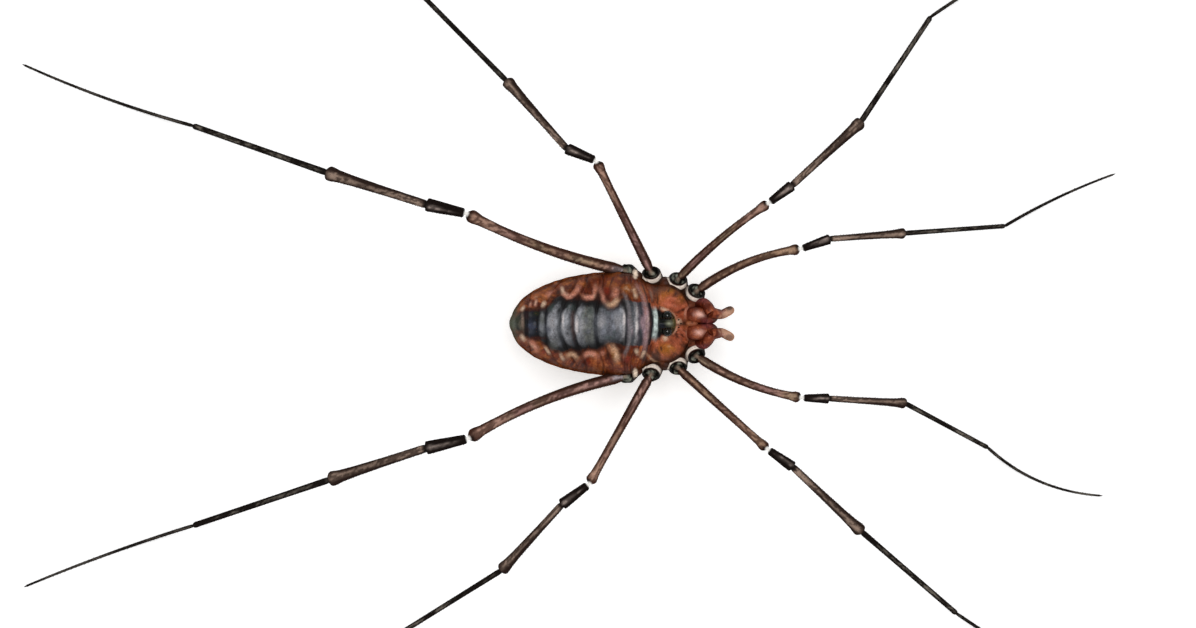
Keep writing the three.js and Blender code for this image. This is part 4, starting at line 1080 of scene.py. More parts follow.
def paint_body(points, normals):
    x, y, z = points.T
    u = x + stripe_bow(x, y)
    share = np.abs(y) / np.maximum(half_width(x), 1e-3)
    large, small = noise(points, 0.5, 11), noise(points, 0.14, 21)
    grain = cell_noise(points, 0.05, 31)
    blotch = noise(points * (1, 0.7, 1), 0.17, 141)
    coat = flank_coat(points, normals[:, 2], u, share, large, small)
    carapace = carapace_coat(points, share, large, small)
    coat.lay(carapace, ramp(2.45, 2.6, u))
    lay_saddle(coat, points, u, carapace, small, blotch, grain)
    lay_marks(coat, points, u, small, blotch, grain)
    lay_tubercle(coat, points, small)
    lobe = ramp(3.86, 4.0, x) * ramp(0.15, 0.1, np.abs(y)) * ramp(4.5, 4.7, z)
    coat.lay(LOBE_TAN, lobe * (0.75 + 0.5 * small))
    lay_underside(coat, points, normals, large, small)
    lay_hips(coat, points, small, grain)
    return np.clip(coat.tones, 0.0, 1.0)


# Legs
def leg_joints(pair, pose, side):
    joints = [hip_point(pair, side)]
    for heading, reach, height in zip(pose["headings"], pose["reaches"][:4], pair["heights"][1:]):
        turn = math.radians(heading)
        last = joints[-1]
        joints.append(np.array((
            last[0] + reach * math.cos(turn), last[1] + reach * (math.sin(turn) * side), height,
        )))
    return joints


def spread(points, step):
    """Points set evenly along a line, about one step apart."""
    gaps = np.linalg.norm(np.diff(points, axis=0), axis=1)
    length = np.concatenate([[0], np.cumsum(gaps)])
    count = max(int(round(length[-1] / step)), 2)
    marks = np.linspace(0, length[-1], count + 1)
    return columns(*(np.interp(marks, length, points[:, axis]) for axis in range(3)))


def tarsus_line(joints, pose, side, number):
    """The tarsus falls from the last joint and comes to rest along the floor."""
    start = joints[-1]
    slope = (joints[-2][2] - start[2]) / pose["reaches"][3]
    heading = math.radians(pose["headings"][4])
    reach = pose["reaches"][4]
    share = np.linspace(0, 1, 80)
    run = share * reach
    aside = 4 * pose["bows"][1] * share * (1 - share)
    rest = stops_at(share, THICKNESS["tarsus"]) * STOUT["tarsus"][number - 1]
    fall = np.maximum(1 - run * slope / (2 * start[2]), 0) ** 2
    return np.stack([
        start[0] + run * math.cos(heading) - aside * math.sin(heading),
        start[1] + (run * math.sin(heading) + aside * math.cos(heading)) * side,
        rest + (start[2] - rest) * fall,
    ], axis=1)


def leg_stations(pair, pose, side, leg_number):
    """Points along the leg from inside the hip to the tip.

    With each point come its segment, its distance along the segment and the segment's length.
    """
    joints = leg_joints(pair, pose, side)
    lines = []
    for start, end in zip(joints[:-1], joints[1:]):
        middle = (start + end) / 2
        if not lines:
            across = np.cross((0, 0, 1), (end - start) / np.linalg.norm(end - start))
            across /= np.linalg.norm(across)
            middle = middle + across * pose["bows"][0] * side * 2 + np.array((0, 0, FEMUR_ARCH * 2))
        lines.append(bezier(start, middle, end, 90))
    lines.append(tarsus_line(joints, pose, side, leg_number))
    out = lines[0][1] - lines[0][0]
    out /= np.linalg.norm(out)
    lines[0] = np.vstack([(lines[0][0] - out * TROCHANTER_RADIUS)[None, :], lines[0]])
    rows = []
    for number, line in enumerate(lines):
        even = spread(line, LEG_STEP)
        length = np.linalg.norm(np.diff(line, axis=0), axis=1).sum()
        marks = np.linspace(0, length, len(even))
        kept = len(even) if number == 4 else len(even) - 1
        rows.append((even[:kept], np.full(kept, number), marks[:kept], np.full(kept, length)))
    return [np.concatenate(column) for column in zip(*rows)]


def smoothed_line(points, rounds=3):
    for _ in range(rounds):
        points = points.copy()
        points[1:-1] = (points[:-2] + 2 * points[1:-1] + points[2:]) / 4
    return points


def leg_radii(segments, marks, lengths, leg_number):
    """Each point's radius, how much of it is membrane, and whether it lies in the hip's globe."""
    radii = np.zeros(len(segments))
    membrane = np.zeros(len(segments))
    for number, segment in enumerate(SEGMENTS):
        here = segments == number
        first = KNEE_GAPS[number] if number else 2 * TROCHANTER_RADIUS - 0.02
        length = lengths[here] - first - KNEE_GAPS[number + 1]
        share = (marks[here] - first) / length
        skin = ramp(0.0, 0.03, np.maximum(-share, share - 1) * length)
        sleeve = np.where(share < 0.5, MEMBRANE_RADII[number], MEMBRANE_RADII[min(number + 1, 4)])
        radius = stops_at(share, THICKNESS[segment]) * STOUT[segment][leg_number - 1]
        radii[here] = radius * (1 - skin) + sleeve * skin
        membrane[here] = skin
    distance = marks - TROCHANTER_RADIUS
    globe = (segments == 0) & (np.abs(distance) < TROCHANTER_RADIUS)
    ball_radius = np.sqrt(np.maximum(TROCHANTER_RADIUS ** 2 - distance ** 2, 1e-4))
    radii = np.where(globe, np.maximum(ball_radius, np.where(distance > 0, 0.16, 0)), radii)
    return radii, np.where(globe, 0, membrane), globe


# Leg colours. The pale tones are laid only along the top of each segment, partly the leg's own pale
# streak and partly painted highlight; the dark ones stay on the sides, partly as painted shade.
FEMUR_TONES = (rgb(184, 148, 122), rgb(184, 142, 134), rgb(160, 146, 122))
FEMUR_DARK = rgb(64, 40, 32)
SHELL_STREAK_HIGHLIGHT = rgb(158, 142, 134)
SHELL_DARK = rgb(26, 20, 18)
TIBIA_STREAK_HIGHLIGHT = rgb(150, 128, 114)
TIBIA_DARK = rgb(44, 32, 28)
FOOT_STREAK_HIGHLIGHT = rgb(126, 118, 108)
FOOT_DARK = rgb(27, 23, 21)
MEMBRANE = rgb(255, 252, 247)
# Hip globes: black, with painted grey glints (more of them, a paler globe, on the fourth legs) and a
# tan painted highlight
GLOBE_DARK = rgb(15, 14, 12)
GLOBE_GREY_AND_GLINT = rgb(148, 150, 136)
GLOBE_TAN = rgb(158, 136, 118)
# Painted blue-grey sheen at the base of the fourth femora
BASE_SHEEN_GREY = rgb(178, 172, 178)

# How bright the pale streak on top of a segment is, and how broad, by the share of its length. It
# lies only on the top: partly the leg's own streak, partly painted highlight.
STREAK_AND_HIGHLIGHT = {
    "femur": {
        "light": (
            (0, 1.1), (0.08, 1.25), (0.22, 1.0), (0.4, 0.6), (0.6, 0.48), (0.75, 0.6), (0.88, 0.8),
            (0.95, 0.8), (0.98, 0.6), (1, 0.4),
        ),
        "breadth": ((0, 0.34), (0.2, 0.42), (0.5, 0.55), (0.85, 0.75), (1, 0.6)),
    },
    "patella": {
        "light": ((0, 0), (0.12, 0.1), (0.28, 0.55), (0.5, 0.95), (0.88, 1.05), (0.95, 0.3), (1, 0)),
        "breadth": ((0, 0.14), (0.3, 0.22), (0.6, 0.34), (0.9, 0.4), (1, 0.3)),
    },
    "tibia": {
        "light": (
            (0, 0.5), (0.05, 1), (0.3, 0.75), (0.6, 0.52), (0.8, 0.75), (0.93, 0.95), (0.97, 0.3),
            (1, 0),
        ),
        "breadth": ((0, 0.85), (0.25, 0.65), (0.6, 0.42), (0.93, 0.55), (1, 0.4)),
    },
    "metatarsus": {
        "light": ((0, 0.1), (0.1, 0.35), (0.6, 0.5), (0.95, 0.5), (1, 0)),
        "breadth": ((0, 0.5), (1, 0.55)),
    },
    "tarsus": {"light": ((0, 0.3), (1, 0.4)), "breadth": ((0, 0.5), (1, 0.5))},
}


def streak_highlight_value(part, share, kind):
    """A streak value of each point, from its segment and its share of the segment's length."""
    values = np.zeros(len(share))
    for number, segment in enumerate(SEGMENTS):
        here = part == number
        values[here] = stops_at(share[here], STREAK_AND_HIGHLIGHT[segment][kind])
    return values


def paint_leg(points, count, segments, shares, membrane, globe, seed):
    """A broken pale streak on top of each segment, partly the leg's own and partly painted
    highlight, dark sides that are partly painted shade, dark ends and pale joints.

    seed is twice the leg's number, and one more on the right side.
    """
    sides = len(points) // count
    angle = np.tile(np.linspace(0, 2 * math.pi, sides, endpoint=False), count)
    aside, top = np.cos(angle), np.sin(angle)
    run = np.repeat(np.arange(count) * LEG_STEP, sides)
    part, skin, in_globe = (np.repeat(row, sides) for row in (segments, membrane, globe))
    share = np.clip(np.repeat(shares, sides), 0, 1)
    femur, patella, tibia = (part == number for number in range(3))
    foot, fourth = part > 2, seed >= 8
    place = seed * 3.7
    lengthwise = columns(run, 0 * run, 0 * run + place)
    wave, slow = noise(lengthwise, 0.7, 71, 2), noise(lengthwise, 2.1, 73, 2)
    fibre = noise(columns(run / 5, aside * 0.45, top * 0.45 + place), 0.15, 61 + seed)
    slanted = columns(run + 0.3 * aside, 0.4 * aside, 0 * run + place)
    hatch = cell_noise(slanted, 0.16, 79 + seed)

    # Pale tones of the top streak: partly the leg's own, partly painted highlight
    light = Coat(FEMUR_TONES[0], points)
    light.lay(FEMUR_TONES[1], ramp(-0.4, 0.4, slow + 0.3 * math.sin(seed * 2.3)))
    light.lay(FEMUR_TONES[2], ramp(0.0, 0.6, -slow + 0.5 * wave) * 0.7)
    light.lay(FEMUR_TONES[0], ramp(0.72, 0.9, share) * 0.5)
    # Painted blue-grey sheen at the base of the fourth femora
    light.lay(BASE_SHEEN_GREY, ramp(0.1, 0.05, share) * 0.8 * fourth)
    light.fill((patella, SHELL_STREAK_HIGHLIGHT), (tibia, TIBIA_STREAK_HIGHLIGHT), (foot, FOOT_STREAK_HIGHLIGHT))
    # Dark tones, which stay on the sides as partly painted shade
    coat = Coat(SHELL_DARK, points)
    coat.fill((femur, FEMUR_DARK), (tibia, TIBIA_DARK), (foot, FOOT_DARK))

    breadth = streak_highlight_value(part, share, "breadth") * (1 + 0.35 * wave)
    middle = 0.16 * wave + np.where(patella, 0.14 * math.cos(seed * 1.9), 0)
    middle += np.where(tibia, 0.22 * math.cos(seed * 2.7), 0)
    off = aside - middle
    streak = ramp(breadth + 0.16, breadth - 0.26, np.abs(off) + 0.3 * fibre)
    # The streak lies only on the top: painted highlight
    streak *= ramp(-0.4, 0.25, top)
    broken = 0.28 + 0.86 * ramp(-0.3, 0.3, 1.5 * fibre + 0.8 * hatch)
    grooves = ramp(0.05, 0.16, np.abs(off - 0.12)) * ramp(0.03, 0.1, np.abs(off + 0.3))
    broken = np.where(patella, broken * (0.45 + 0.55 * grooves), broken)
    amount = streak_highlight_value(part, share, "light") * streak * broken
    beads = ramp(-0.35, 0.45, wave + 0.5 * hatch)
    coat.lay(light, np.clip(np.where(foot, amount * beads * 1.3, amount), 0, 1.15))
    ends = np.maximum(ramp(0.022, 0.008, share), ramp(0.975, 0.99, share)) * (patella | tibia)
    femur_end = ramp(0.985, 0.993, share) * femur * ramp(-0.6, 0.3, math.cos(seed) * aside)
    coat.lay(SHELL_DARK, np.maximum(ends, femur_end) * 0.85).shade(1 + 0.25 * fibre)
    knee = femur | (patella & (share < 0.5))
    coat.lay(np.where(knee[:, None], MEMBRANE, FOOT_DARK), skin)

    blotch = noise(points, 0.16, 91 + seed, 2)
    # Painted glints on the hip globe; the fourth legs get more of them, a paler globe
    hip = Coat(GLOBE_DARK, points)
    hip.lay(GLOBE_GREY_AND_GLINT, ramp(-0.2 if fourth else 0.1, 0.6, blotch) * 0.9)
    outer = np.repeat(np.linspace(0, 1, count) * count * LEG_STEP, sides)
    # Painted highlight: a tan ray that carries the femur's top streak into the globe, and painted
    # shade on the globe's underside
    lit_ray = ramp(0.5, 0.15, np.abs(aside)) * ramp(0.38, 0.55, outer) * ramp(0, 0.4, top)
    hip.lay(GLOBE_TAN, lit_ray * 0.8).shade(ramp(-0.5, 0.5, top))
    return np.clip(np.where(in_globe[:, None], hip.tones, coat.tones), 0, 1)


def build_leg(pair, number, side, word, material):
    centres, segments, marks, lengths = leg_stations(pair, pair[word], side, number)
    centres = smoothed_line(centres)
    radii, membrane, globe = leg_radii(segments, marks, lengths, number)
    seed = number * 2 + (side < 0)
    points, faces = tube(centres, radii, LEG_SIDES, ribs=0.03)
    rings = points[:-2]
    gaps = np.array(KNEE_GAPS)
    first = np.where(segments == 0, 2 * TROCHANTER_RADIUS, gaps[segments])
    shares = (marks - first) / (lengths - first - gaps[segments + 1])
    colours = paint_leg(rings, len(centres), segments, shares, membrane, globe, seed)
    rough = noise(rings, 0.14, 81 + seed, 2) * (1 + 7 * np.repeat(globe, LEG_SIDES))
    normals = rings - np.repeat(centres, LEG_SIDES, axis=0)
    normals /= np.maximum(np.linalg.norm(normals, axis=1), 1e-9)[:, None]
    rings = rings + normals * (0.006 * rough * (np.repeat(segments, LEG_SIDES) < 3))[:, None]
    rings[:, 2] = np.maximum(rings[:, 2], 0)
    points = np.vstack([rings, points[-2:]])
    colours = np.vstack([colours, colours[:1], colours[-1:]])
    name = f"leg{number}_{word}"
    leg = make_piece(f"{name}_skin", points, faces, material, colours)
    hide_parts(*(f"{name}_{part}" for part in ("trochanter",) + SEGMENTS))
    return centres, radii, segments, shares


def leg_bristles(legs, material):
    """Short dark spinules in rows on the first three segments, and finer setae out to the tip."""
    spines = []
    for index, (centres, leg_radius, segments, shares) in enumerate(legs):
        tangents = unit(np.gradient(centres, axis=0))
        across = unit(np.cross(tangents, (0, 0, 1)))
        lift = np.cross(across, tangents)
        for row in range(BRISTLE_ROWS):
            turn = 2 * math.pi * row / BRISTLE_ROWS + 0.2
            at = 8 + RANDOM.random() * 3
            while at < len(centres) - 2:
                k = int(at)
                kind = COARSE_BRISTLE if segments[k] < 3 else FINE_BRISTLE
                if 0.03 < shares[k] < 0.97 and leg_radius[k] > 0.03:
                    angle = turn + RANDOM.normal(0, 0.12)
                    outward = across[k] * math.cos(angle) + lift[k] * math.sin(angle)
                    root = centres[k] + outward * leg_radius[k] * 0.96
                    direction = outward + tangents[k] * RANDOM.uniform(0.8, 1.3)
                    length = RANDOM.uniform(*kind["length"])
                    if root[2] + min(direction[2], 0) * length > 0.02:
                        mark = (k / len(centres), (index + (row + 0.5) / BRISTLE_ROWS) / len(legs))
                        spines.append((root, direction, length, kind["radius"], mark))
                at += RANDOM.uniform(*kind["gap"])
    add_coat("leg_bristles", spines, 4, material)


def add_coat(name, spines, sides, material, sink=0.2):
    """Spines or bristles as one piece. Its OFBake map gives each a small patch at its root's place.

    Each spine is its root, direction, length, radius and place on the map.
    """
    *shape, marks = zip(*spines)
    points, faces = cones(*shape, sides, sink)
    piece = make_piece(name, points, faces, material)
    layer = piece.data.uv_layers.new(name="OFBake")
    corner_points = np.empty(len(piece.data.loops), dtype=np.int32)
    piece.data.loops.foreach_get("vertex_index", corner_points)
    spine, corner = np.divmod(corner_points, 2 * sides + 2)
    turn = 2 * math.pi * corner / sides
    patch = 0.0015 * np.where(corner < sides, 1.0, np.where(corner < 2 * sides, 0.6, 0.0))
    uv = np.asarray(marks)[spine] + columns(np.cos(turn), np.sin(turn)) * patch[:, None]
    layer.data.foreach_set("uv", np.clip(uv, 0, 1).astype(np.float32).ravel())


def leg_claws(legs, material):
    """The single dark claw at each leg's tip, curved down to the floor."""
    parts = []
    for centres, leg_radius, _, _ in legs:
        ahead = centres[-1] - centres[-4]
        ahead /= np.linalg.norm(ahead)
        end = np.array((*(centres[-1] + ahead * CLAW_LENGTH)[:2], 0.012))
        bend = centres[-1] + ahead * CLAW_LENGTH * 0.6 + np.array((0, 0, 0.03))
        stops = ((0, leg_radius[-1] * 0.85), (0.5, 0.024), (1, 0.006))
        parts.append(swept(centres[-1] - ahead * 0.03, bend, end, stops, 10, 8))
    make_piece("leg_claws", *joined(parts), material)


# Head pieces. A palp's spot: its place outward, colour and strength, and the tan field's slope
FINGER_DARK = rgb(30, 20, 18)
PALP_SPOTS = {1: (0.74, PALP_TIP, 0.85, 0.75), -1: (0.62, BROWN, 0.55, 0.35)}


def chelicera_skin(side):
    wide, thin = CHELICERA_RADIUS, FINGER_RADIUS
    base = (
        (0, wide * 0.7), (0.12, wide * 0.95), (0.45, wide * 1.26), (0.8, wide * 1.26),
        (1, wide * 1.2),
    )
    hand = (
        (0, wide * 1.15), (0.08, wide * 1.24), (0.3, wide * 1.26), (0.6, wide * 1.05),
        (0.9, wide * 0.66), (1, wide * 0.3),
    )
    finger = ((0, thin * 1.1), (0.5, thin * 0.85), (0.9, thin * 0.4), (1, thin * 0.2))
    return welded([
        swept(*(np.array(mirrored(point, side)) for point in line), *rest) for line, *rest in (
            (CHELICERA_BASE, base, 30, 28),
            (CHELICERA_HAND, hand, 36, 28, (1, 0, 0)),
            (FIXED_FINGER, finger, 20, 16, (1, 0, 0)),
            (MOVING_FINGER, finger, 20, 16, (1, 0, 0)),
        )
    ], MOUTH_VOXEL, relax=3)


def palp_skin(side):
    r = PALP_RADIUS
    joints = [np.array(mirrored(point, side)) for point in PALP_JOINTS]
    profiles = (
        ((0, r * 1.0), (0.4, r * 1.25), (0.85, r * 1.3), (1, r * 1.1)),
        ((0, r * 1.1), (0.3, r * 1.35), (0.75, r * 1.45), (1, r * 1.25)),
        ((0, r * 1.25), (0.3, r * 1.4), (0.75, r * 1.25), (1, r * 1.1)),
        ((0, r * 1.1), (0.2, r * 1.15), (0.7, r * 1.14), (0.93, r * 1.04), (1, r * 0.66)),
    )
    parts = [ball(joints[0], (r * PALP_BALL,) * 3)]
    for start, end, profile, arch in zip(joints[:-1], joints[1:], profiles, PALP_ARCHES):
        middle = (start + end) / 2 + np.array((0, 0, arch))
        parts.append(swept(start, middle, end, profile, 24, 24, (1, 0, 0)))
    claw = joints[-1] + np.array(PALP_CLAW)
    bend = (joints[-1] + claw) / 2 + np.array((0.03, 0, 0))
    parts.append(swept(joints[-1], bend, claw, ((0, r * 0.3), (1, r * 0.06)), 12, 12, (1, 0, 0)))
    return welded(parts, MOUTH_VOXEL, relax=2)


def mouth_coat(points, normals, highlight_at, highlight_size):
    """Maroon and rust with brushed streaks, painted shade where the surface turns away from the top,
    and a painted pink highlight round one point.
    """
    small = noise(points, 0.12, 91)
    large = noise(points * (0.6, 1, 1), 0.3, 95, 2)
    coat = Coat(MOUTH_RUST, points)
    coat.lay(MOUTH_DARK, ramp(-0.05, 0.4, -large - 0.4 * small) * 0.85)
    coat.lay(MOUTH_LIGHT, ramp(0.05, 0.5, small + 0.5 * large) * 0.7)
    # Painted shade where the surface turns away from the top
    coat.lay(MOUTH_DARK, ramp(0.85, 0.3, normals[:, 2]) * 0.9)
    # Painted highlight: pink round the given point
    gap = np.linalg.norm((points - np.array(highlight_at)) / highlight_size, axis=1)
    pink_highlight = np.exp(-np.maximum(gap + 0.45 * small + 0.2 * large, 0) ** 2)
    return coat.lay(MOUTH_HIGHLIGHT_PINK, pink_highlight * 0.95)


def paint_chelicera(points, normals, side):
    """The painted pink highlight is at the crown, the fingers and the inner side are dark, and the
    back gets painted shade where it comes out from under the carapace.
    """
    coat = mouth_coat(points, normals, (4.46, 0.42 * side, 5.0), (0.18, 0.13, 0.25))
    x, out = points[:, 0], np.abs(points[:, 1])
    tip = np.linalg.norm(points - np.array((4.86, 0.2 * side, 2.86)), axis=1)
    coat.lay(FINGER_DARK, ramp(0.5, 0.1, tip) * 0.85)
    # Painted shade at the back, where the chelicera comes out from under the carapace
    coat.lay(MOUTH_DARK, ramp(4.25, 3.98, x) * 0.7)
    coat.lay(MOUTH_PLUM, ramp(0.34, 0.1, out) * ramp(4.45, 4.7, x) * ramp(5.14, 5.0, x) * 0.75)
    return coat.lay(PALP_TIP, ramp(5.1, 5.3, x) * 0.7)


def paint_palp(points, normals, side):
    """Tan ahead, plum outside, and a dark spot near the tip, which the left palp shows more."""
    spot_out, spot_colour, spot_strength, slope = PALP_SPOTS[side]
    # The painted pink highlight on the palp lies near its front end
    coat = mouth_coat(points, normals, (5.7, 0.47 * side, 4.8), (0.26, 0.09, 0.5))
    x, out = points[:, 0], np.abs(points[:, 1])
    coat.lay(MOUTH_PLUM, ramp(0.82, 1.08, out) * ramp(5.0, 4.8, x) * 0.75)
    slant = x - slope * (out - 0.35)
    coat.lay(PALP_TAN, ramp(5.36, 5.6, slant + 0.15 * cell_noise(points, 0.1, 99)) * 0.8)
    spot = np.hypot((x - 5.8) / 0.2, (out - spot_out) / 0.15)
    return coat.lay(spot_colour, ramp(1.3, 0.5, spot) * spot_strength)


def mouth_piece(name, skin, coat, grain, material):
    """A chelicera or palp, roughened by fine grain, which is its size and its noise seed."""
    points, normals, faces = skin
    points = points + normals * (0.005 * cell_noise(points, *grain))[:, None]
    piece = make_piece(f"{name}_skin", points, faces, material, np.clip(coat.tones, 0, 1))
    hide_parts(name)


def build_head(materials):
    for side, word in SIDES:
        skin = chelicera_skin(side)
        coat = paint_chelicera(*skin[:2], side)
        skin[0][:, 1] = side * np.maximum(skin[0][:, 1] * side, -MIDLINE_LAP)
        mouth_piece(f"chelicera_{word}", skin, coat, (0.05, 97), materials["mouth"])
        skin = palp_skin(side)
        coat = paint_palp(*skin[:2], side)
        mouth_piece(f"pedipalp_{word}", skin, coat, (0.045, 98), materials["mouth"])
        globe = ball(eye_centre(side), (EYE["radius"],) * 3, 64, 44)
        lens = make_piece(f"eye_{word}_lens", *globe, materials["eye"])
        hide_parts(f"eye_{word}")


def build_head_spines(material):
    """Two rows of denticles on the eye tubercle, and a few spines on the front of the carapace."""
    spines = []
    centre = tubercle_centre()
    half = OCULARIUM["half"]
    for side in (1, -1):
        for turn in np.linspace(-1, 1, DENTICLES_A_ROW):
            x = turn * CREST_HALF_LENGTH
            inside = 1 - (x / half[0]) ** 2 - (CREST_Y / half[1]) ** 2
            if inside > 0:
                root = centre + (x, CREST_Y * side, half[2] * math.sqrt(inside))
                length = 0.13 + 0.03 * RANDOM.random()
                spines.append((root, (turn * 0.5, side * 0.35, 1), length, 0.038, unrolled(root)))
    for x, y in FRONT_SPINES:
        root = (x, y, back_height(x, y))
        length, radius = (0.15, 0.045) if abs(y) < 0.2 else (0.08, 0.03)
        spines.append((root, (0.5, 0, 1), length, radius, unrolled(root)))
    add_coat("head_denticles", spines, 9, material, sink=0.4)


def build_back_tubercles(material):
    """Low dark points in a row across each ring of the back, and loose on the carapace."""
    spines = []
    seams = ABDOMEN_SEAMS + THORAX_SEAMS
    for row in ((a + b) / 2 for a, b in zip(seams[:-1], seams[1:])):
        width = float(half_width(np.array([row]))[0])
        count = int(width * 9)
        for k in range(count):
            y = (k + 0.5 + RANDOM.uniform(-0.3, 0.3)) / count * 2 - 1
            y *= width * 0.84
            x = row - float(stripe_bow(row, y)) + RANDOM.uniform(-0.05, 0.05)
            add_point(spines, x, y, 0.03)
    for _ in range(LOOSE_POINTS):
        x, y = RANDOM.uniform(2.55, 3.8), RANDOM.uniform(-1.5, 1.5)
        if math.hypot((x - OCULARIUM["x"]) / 0.55, y / 0.68) > 1:
            add_point(spines, x, y, 0.02)
    add_coat("back_tubercles", spines, 6, material)


def unrolled(point):
    """A point's place on the body's skin unrolled: along the body and round it, each 0 to 1."""
    x, y, z = point
    share = (x - BODY_REAR + 0.1) / (BODY_FRONT - BODY_REAR + 0.2)
    return (share, 0.5 + math.atan2(y, z - BODY_LEVEL) / (2 * math.pi))


def add_point(spines, x, y, length):
    """One low point that leans back, unless it would stand off the back or too near a hip."""
    if abs(y) > float(half_width(np.array([x]))[0]) * 0.9:
        return
    distance, _ = hip_distance(np.array([(x, y, 5.0)]))
    if distance[0] < 0.62:
        return
    z = float(back_height(x, y))
    ahead = (float(back_height(x + 0.02, y)) - z) / 0.02
    aside = (float(back_height(x, y + 0.02)) - z) / 0.02
    length = length * RANDOM.uniform(0.8, 1.3) + 0.012
    radius = 0.014 * RANDOM.uniform(0.8, 1.2)
    spines.append(((x, y, z), (-ahead - 0.5, -aside, 1), length, radius, unrolled((x, y, z))))


# Materials and stage
def chitin(
        name, grain_mm, bump_mm, rough, sheen, coat=0.0, colour=None, mottle=0.25, coat_rough=0.18):
    """Fine grain, gloss and bump over the painted pattern, or over two colours that mix."""
    material = bpy.data.materials.new(name)
    material.use_nodes = True
    nodes, links = material.node_tree.nodes, material.node_tree.links

    def plug(node, inputs):
        for key, value in inputs.items():
            if isinstance(value, bpy.types.NodeSocket):
                links.new(value, node.inputs[key])
            else:
                node.inputs[key].default_value = value
        return node.outputs

    def add(kind, inputs, **settings):
        node = nodes.new("ShaderNode" + kind)
        for key, value in settings.items():
            setattr(node, key, value)
        return plug(node, inputs)

    place = add("TexCoord", {})["Object"]
    place = add("Mapping", {"Vector": place, "Scale": (1 / MM,) * 3})["Vector"]
    fine, broad = (
        add("TexNoise", {
            "Vector": place, "Scale": 1 / size, "Detail": detail, "Roughness": 0.55,
        })["Fac"] for size, detail in ((grain_mm, 4), (grain_mm * 5, 3))
    )
    if colour is None:
        pattern = add("Attribute", {}, attribute_name="Pattern")
        base = pattern["Color"]
        sheen = add("Math", {0: pattern["Alpha"], 1: sheen}, operation="MULTIPLY")["Value"]
    else:
        mix = nodes.new("ShaderNodeValToRGB")
        for element, position, tone in zip(mix.color_ramp.elements, (0.3, 0.7), colour):
            element.position, element.color = position, (*tone, 1)
        base = plug(mix, {"Fac": broad})["Color"]
    mottling = add("MapRange", {
        "Value": fine, "From Min": 0.3, "From Max": 0.7, "To Min": 1 - mottle, "To Max": 1 + mottle,
    })["Result"]
    gloss = add("MapRange", {"Value": broad, "To Min": rough[0], "To Max": rough[1]})["Result"]
    cells = add("TexVoronoi", {"Vector": place, "Scale": 1 / (grain_mm * 0.9)}, feature="SMOOTH_F1")
    height = add("Math", {0: fine, 1: cells["Distance"]}, operation="ADD")["Value"]
    base = add("VectorMath", {0: base, "Scale": mottling}, operation="SCALE")["Vector"]
    bump = add("Bump", {"Height": height, "Strength": 0.6, "Distance": bump_mm * MM})["Normal"]
    plug(nodes["Principled BSDF"], {
        "Base Color": base,
        "Roughness": gloss,
        "Normal": bump,
        "Specular IOR Level": sheen,
        "Coat Weight": coat,
        "Coat Roughness": coat_rough,
    })
    return material


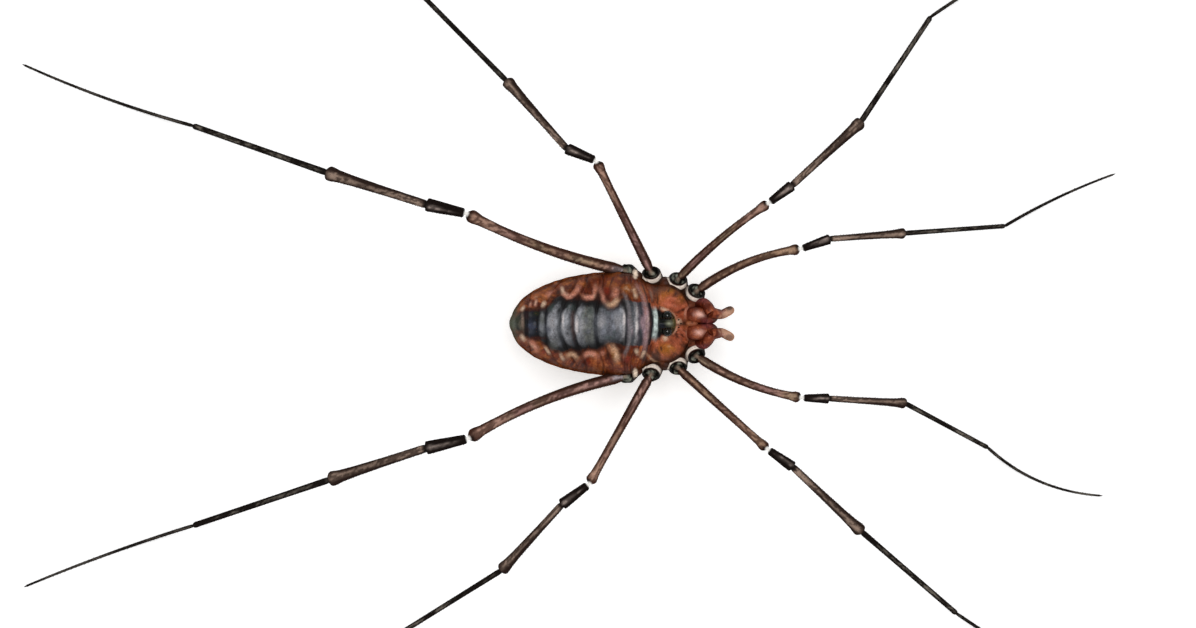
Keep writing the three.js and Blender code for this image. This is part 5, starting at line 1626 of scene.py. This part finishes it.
def make_stage():
    """The camera straight above, a soft lamp, an even sky and a pale floor that glows a little."""
    scene = bpy.context.scene
    scene.view_settings.view_transform = "Standard"
    scene.view_settings.look = "None"
    camera = bpy.data.cameras.new("camera")
    camera.lens, camera.sensor_width = LENS_MM, SENSOR_MM
    camera.clip_start, camera.clip_end = 0.1, 10.0
    scene.camera = link(bpy.data.objects.new("camera", camera))
    above = SHARP_LEVEL_MM + PICTURE_WIDTH_MM * LENS_MM / SENSOR_MM
    scene.camera.location = OFFSET + np.array((*PICTURE_CENTRE_MM, above)) * MM

    lamp = bpy.data.lights.new("softbox", "AREA")
    lamp.shape, lamp.size, lamp.energy = "DISK", LAMP_SIZE, LAMP_WATTS
    light = link(bpy.data.objects.new("softbox", lamp))
    light.location = LAMP_PLACE
    light.rotation_euler = (-Vector(LAMP_PLACE)).to_track_quat("-Z", "Y").to_euler()

    scene.world = bpy.data.worlds.new("studio")
    scene.world.use_nodes = True
    background = scene.world.node_tree.nodes["Background"].inputs
    background["Color"].default_value = (1, 1, 1, 1)
    background["Strength"].default_value = WORLD_STRENGTH

    corners = [(x * FLOOR_HALF, y * FLOOR_HALF, 0) for x, y in ((-1, -1), (1, -1), (1, 1), (-1, 1))]
    floor = raw_object("floor", corners, [(0, 1, 2, 3)])
    paint = bpy.data.materials.new("floor_paint")
    paint.use_nodes = True
    inputs = paint.node_tree.nodes["Principled BSDF"].inputs
    inputs["Base Color"].default_value = (0.93, 0.93, 0.93, 1)
    inputs["Roughness"].default_value = 0.9
    inputs["Specular IOR Level"].default_value = 0.1
    inputs["Emission Color"].default_value = (1, 1, 1, 1)
    inputs["Emission Strength"].default_value = FLOOR_GLOW
    floor.data.materials.append(paint)


make_stage()
MATERIALS = {
    "body": chitin("body_cuticle", 0.07, 0.012, (0.36, 0.6), 0.16),
    "leg": chitin("leg_cuticle", 0.06, 0.008, (0.36, 0.6), 0.12),
    "mouth": chitin("mouthpart_cuticle", 0.05, 0.008, (0.28, 0.46), 0.2),
    "eye": chitin(
        "eye_glass", 0.03, 0.0005, (0.05, 0.09), 0.25, 0.25, (rgb(6, 7, 6), rgb(18, 22, 14)),
        mottle=0.2, coat_rough=0.03,
    ),
}
for name, grain_mm, bump_mm, rough, sheen, colour in (
    ("bristle", 0.03, 0.001, (0.4, 0.5), 0.1, (rgb(24, 18, 15), rgb(52, 38, 30))),
    ("denticle", 0.04, 0.003, (0.3, 0.5), 0.15, (rgb(30, 22, 16), rgb(70, 48, 34))),
    ("tubercle", 0.04, 0.002, (0.4, 0.6), 0.1, (rgb(70, 40, 26), rgb(120, 74, 48))),
    ("claw", 0.04, 0.003, (0.2, 0.4), 0.2, (rgb(18, 13, 11), rgb(48, 34, 28))),
):
    MATERIALS[name] = chitin(name, grain_mm, bump_mm, rough, sheen, 0, colour, 0.2)

skin_points, skin_normals, skin_faces = body_skin()
skin_colours = paint_body(skin_points, skin_normals)
skin_points = body_relief(skin_points, skin_normals)
body = make_piece("body_skin", skin_points, skin_faces, MATERIALS["body"], skin_colours)
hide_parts("prosoma", "opisthosoma")

build_head(MATERIALS)
legs = [
    build_leg(pair, number, side, word, MATERIALS["leg"])
    for side, word in SIDES for number, pair in enumerate(LEG_PAIRS, start=1)
]
leg_bristles(legs, MATERIALS["bristle"])
leg_claws(legs, MATERIALS["claw"])
build_head_spines(MATERIALS["denticle"])
build_back_tubercles(MATERIALS["tubercle"])
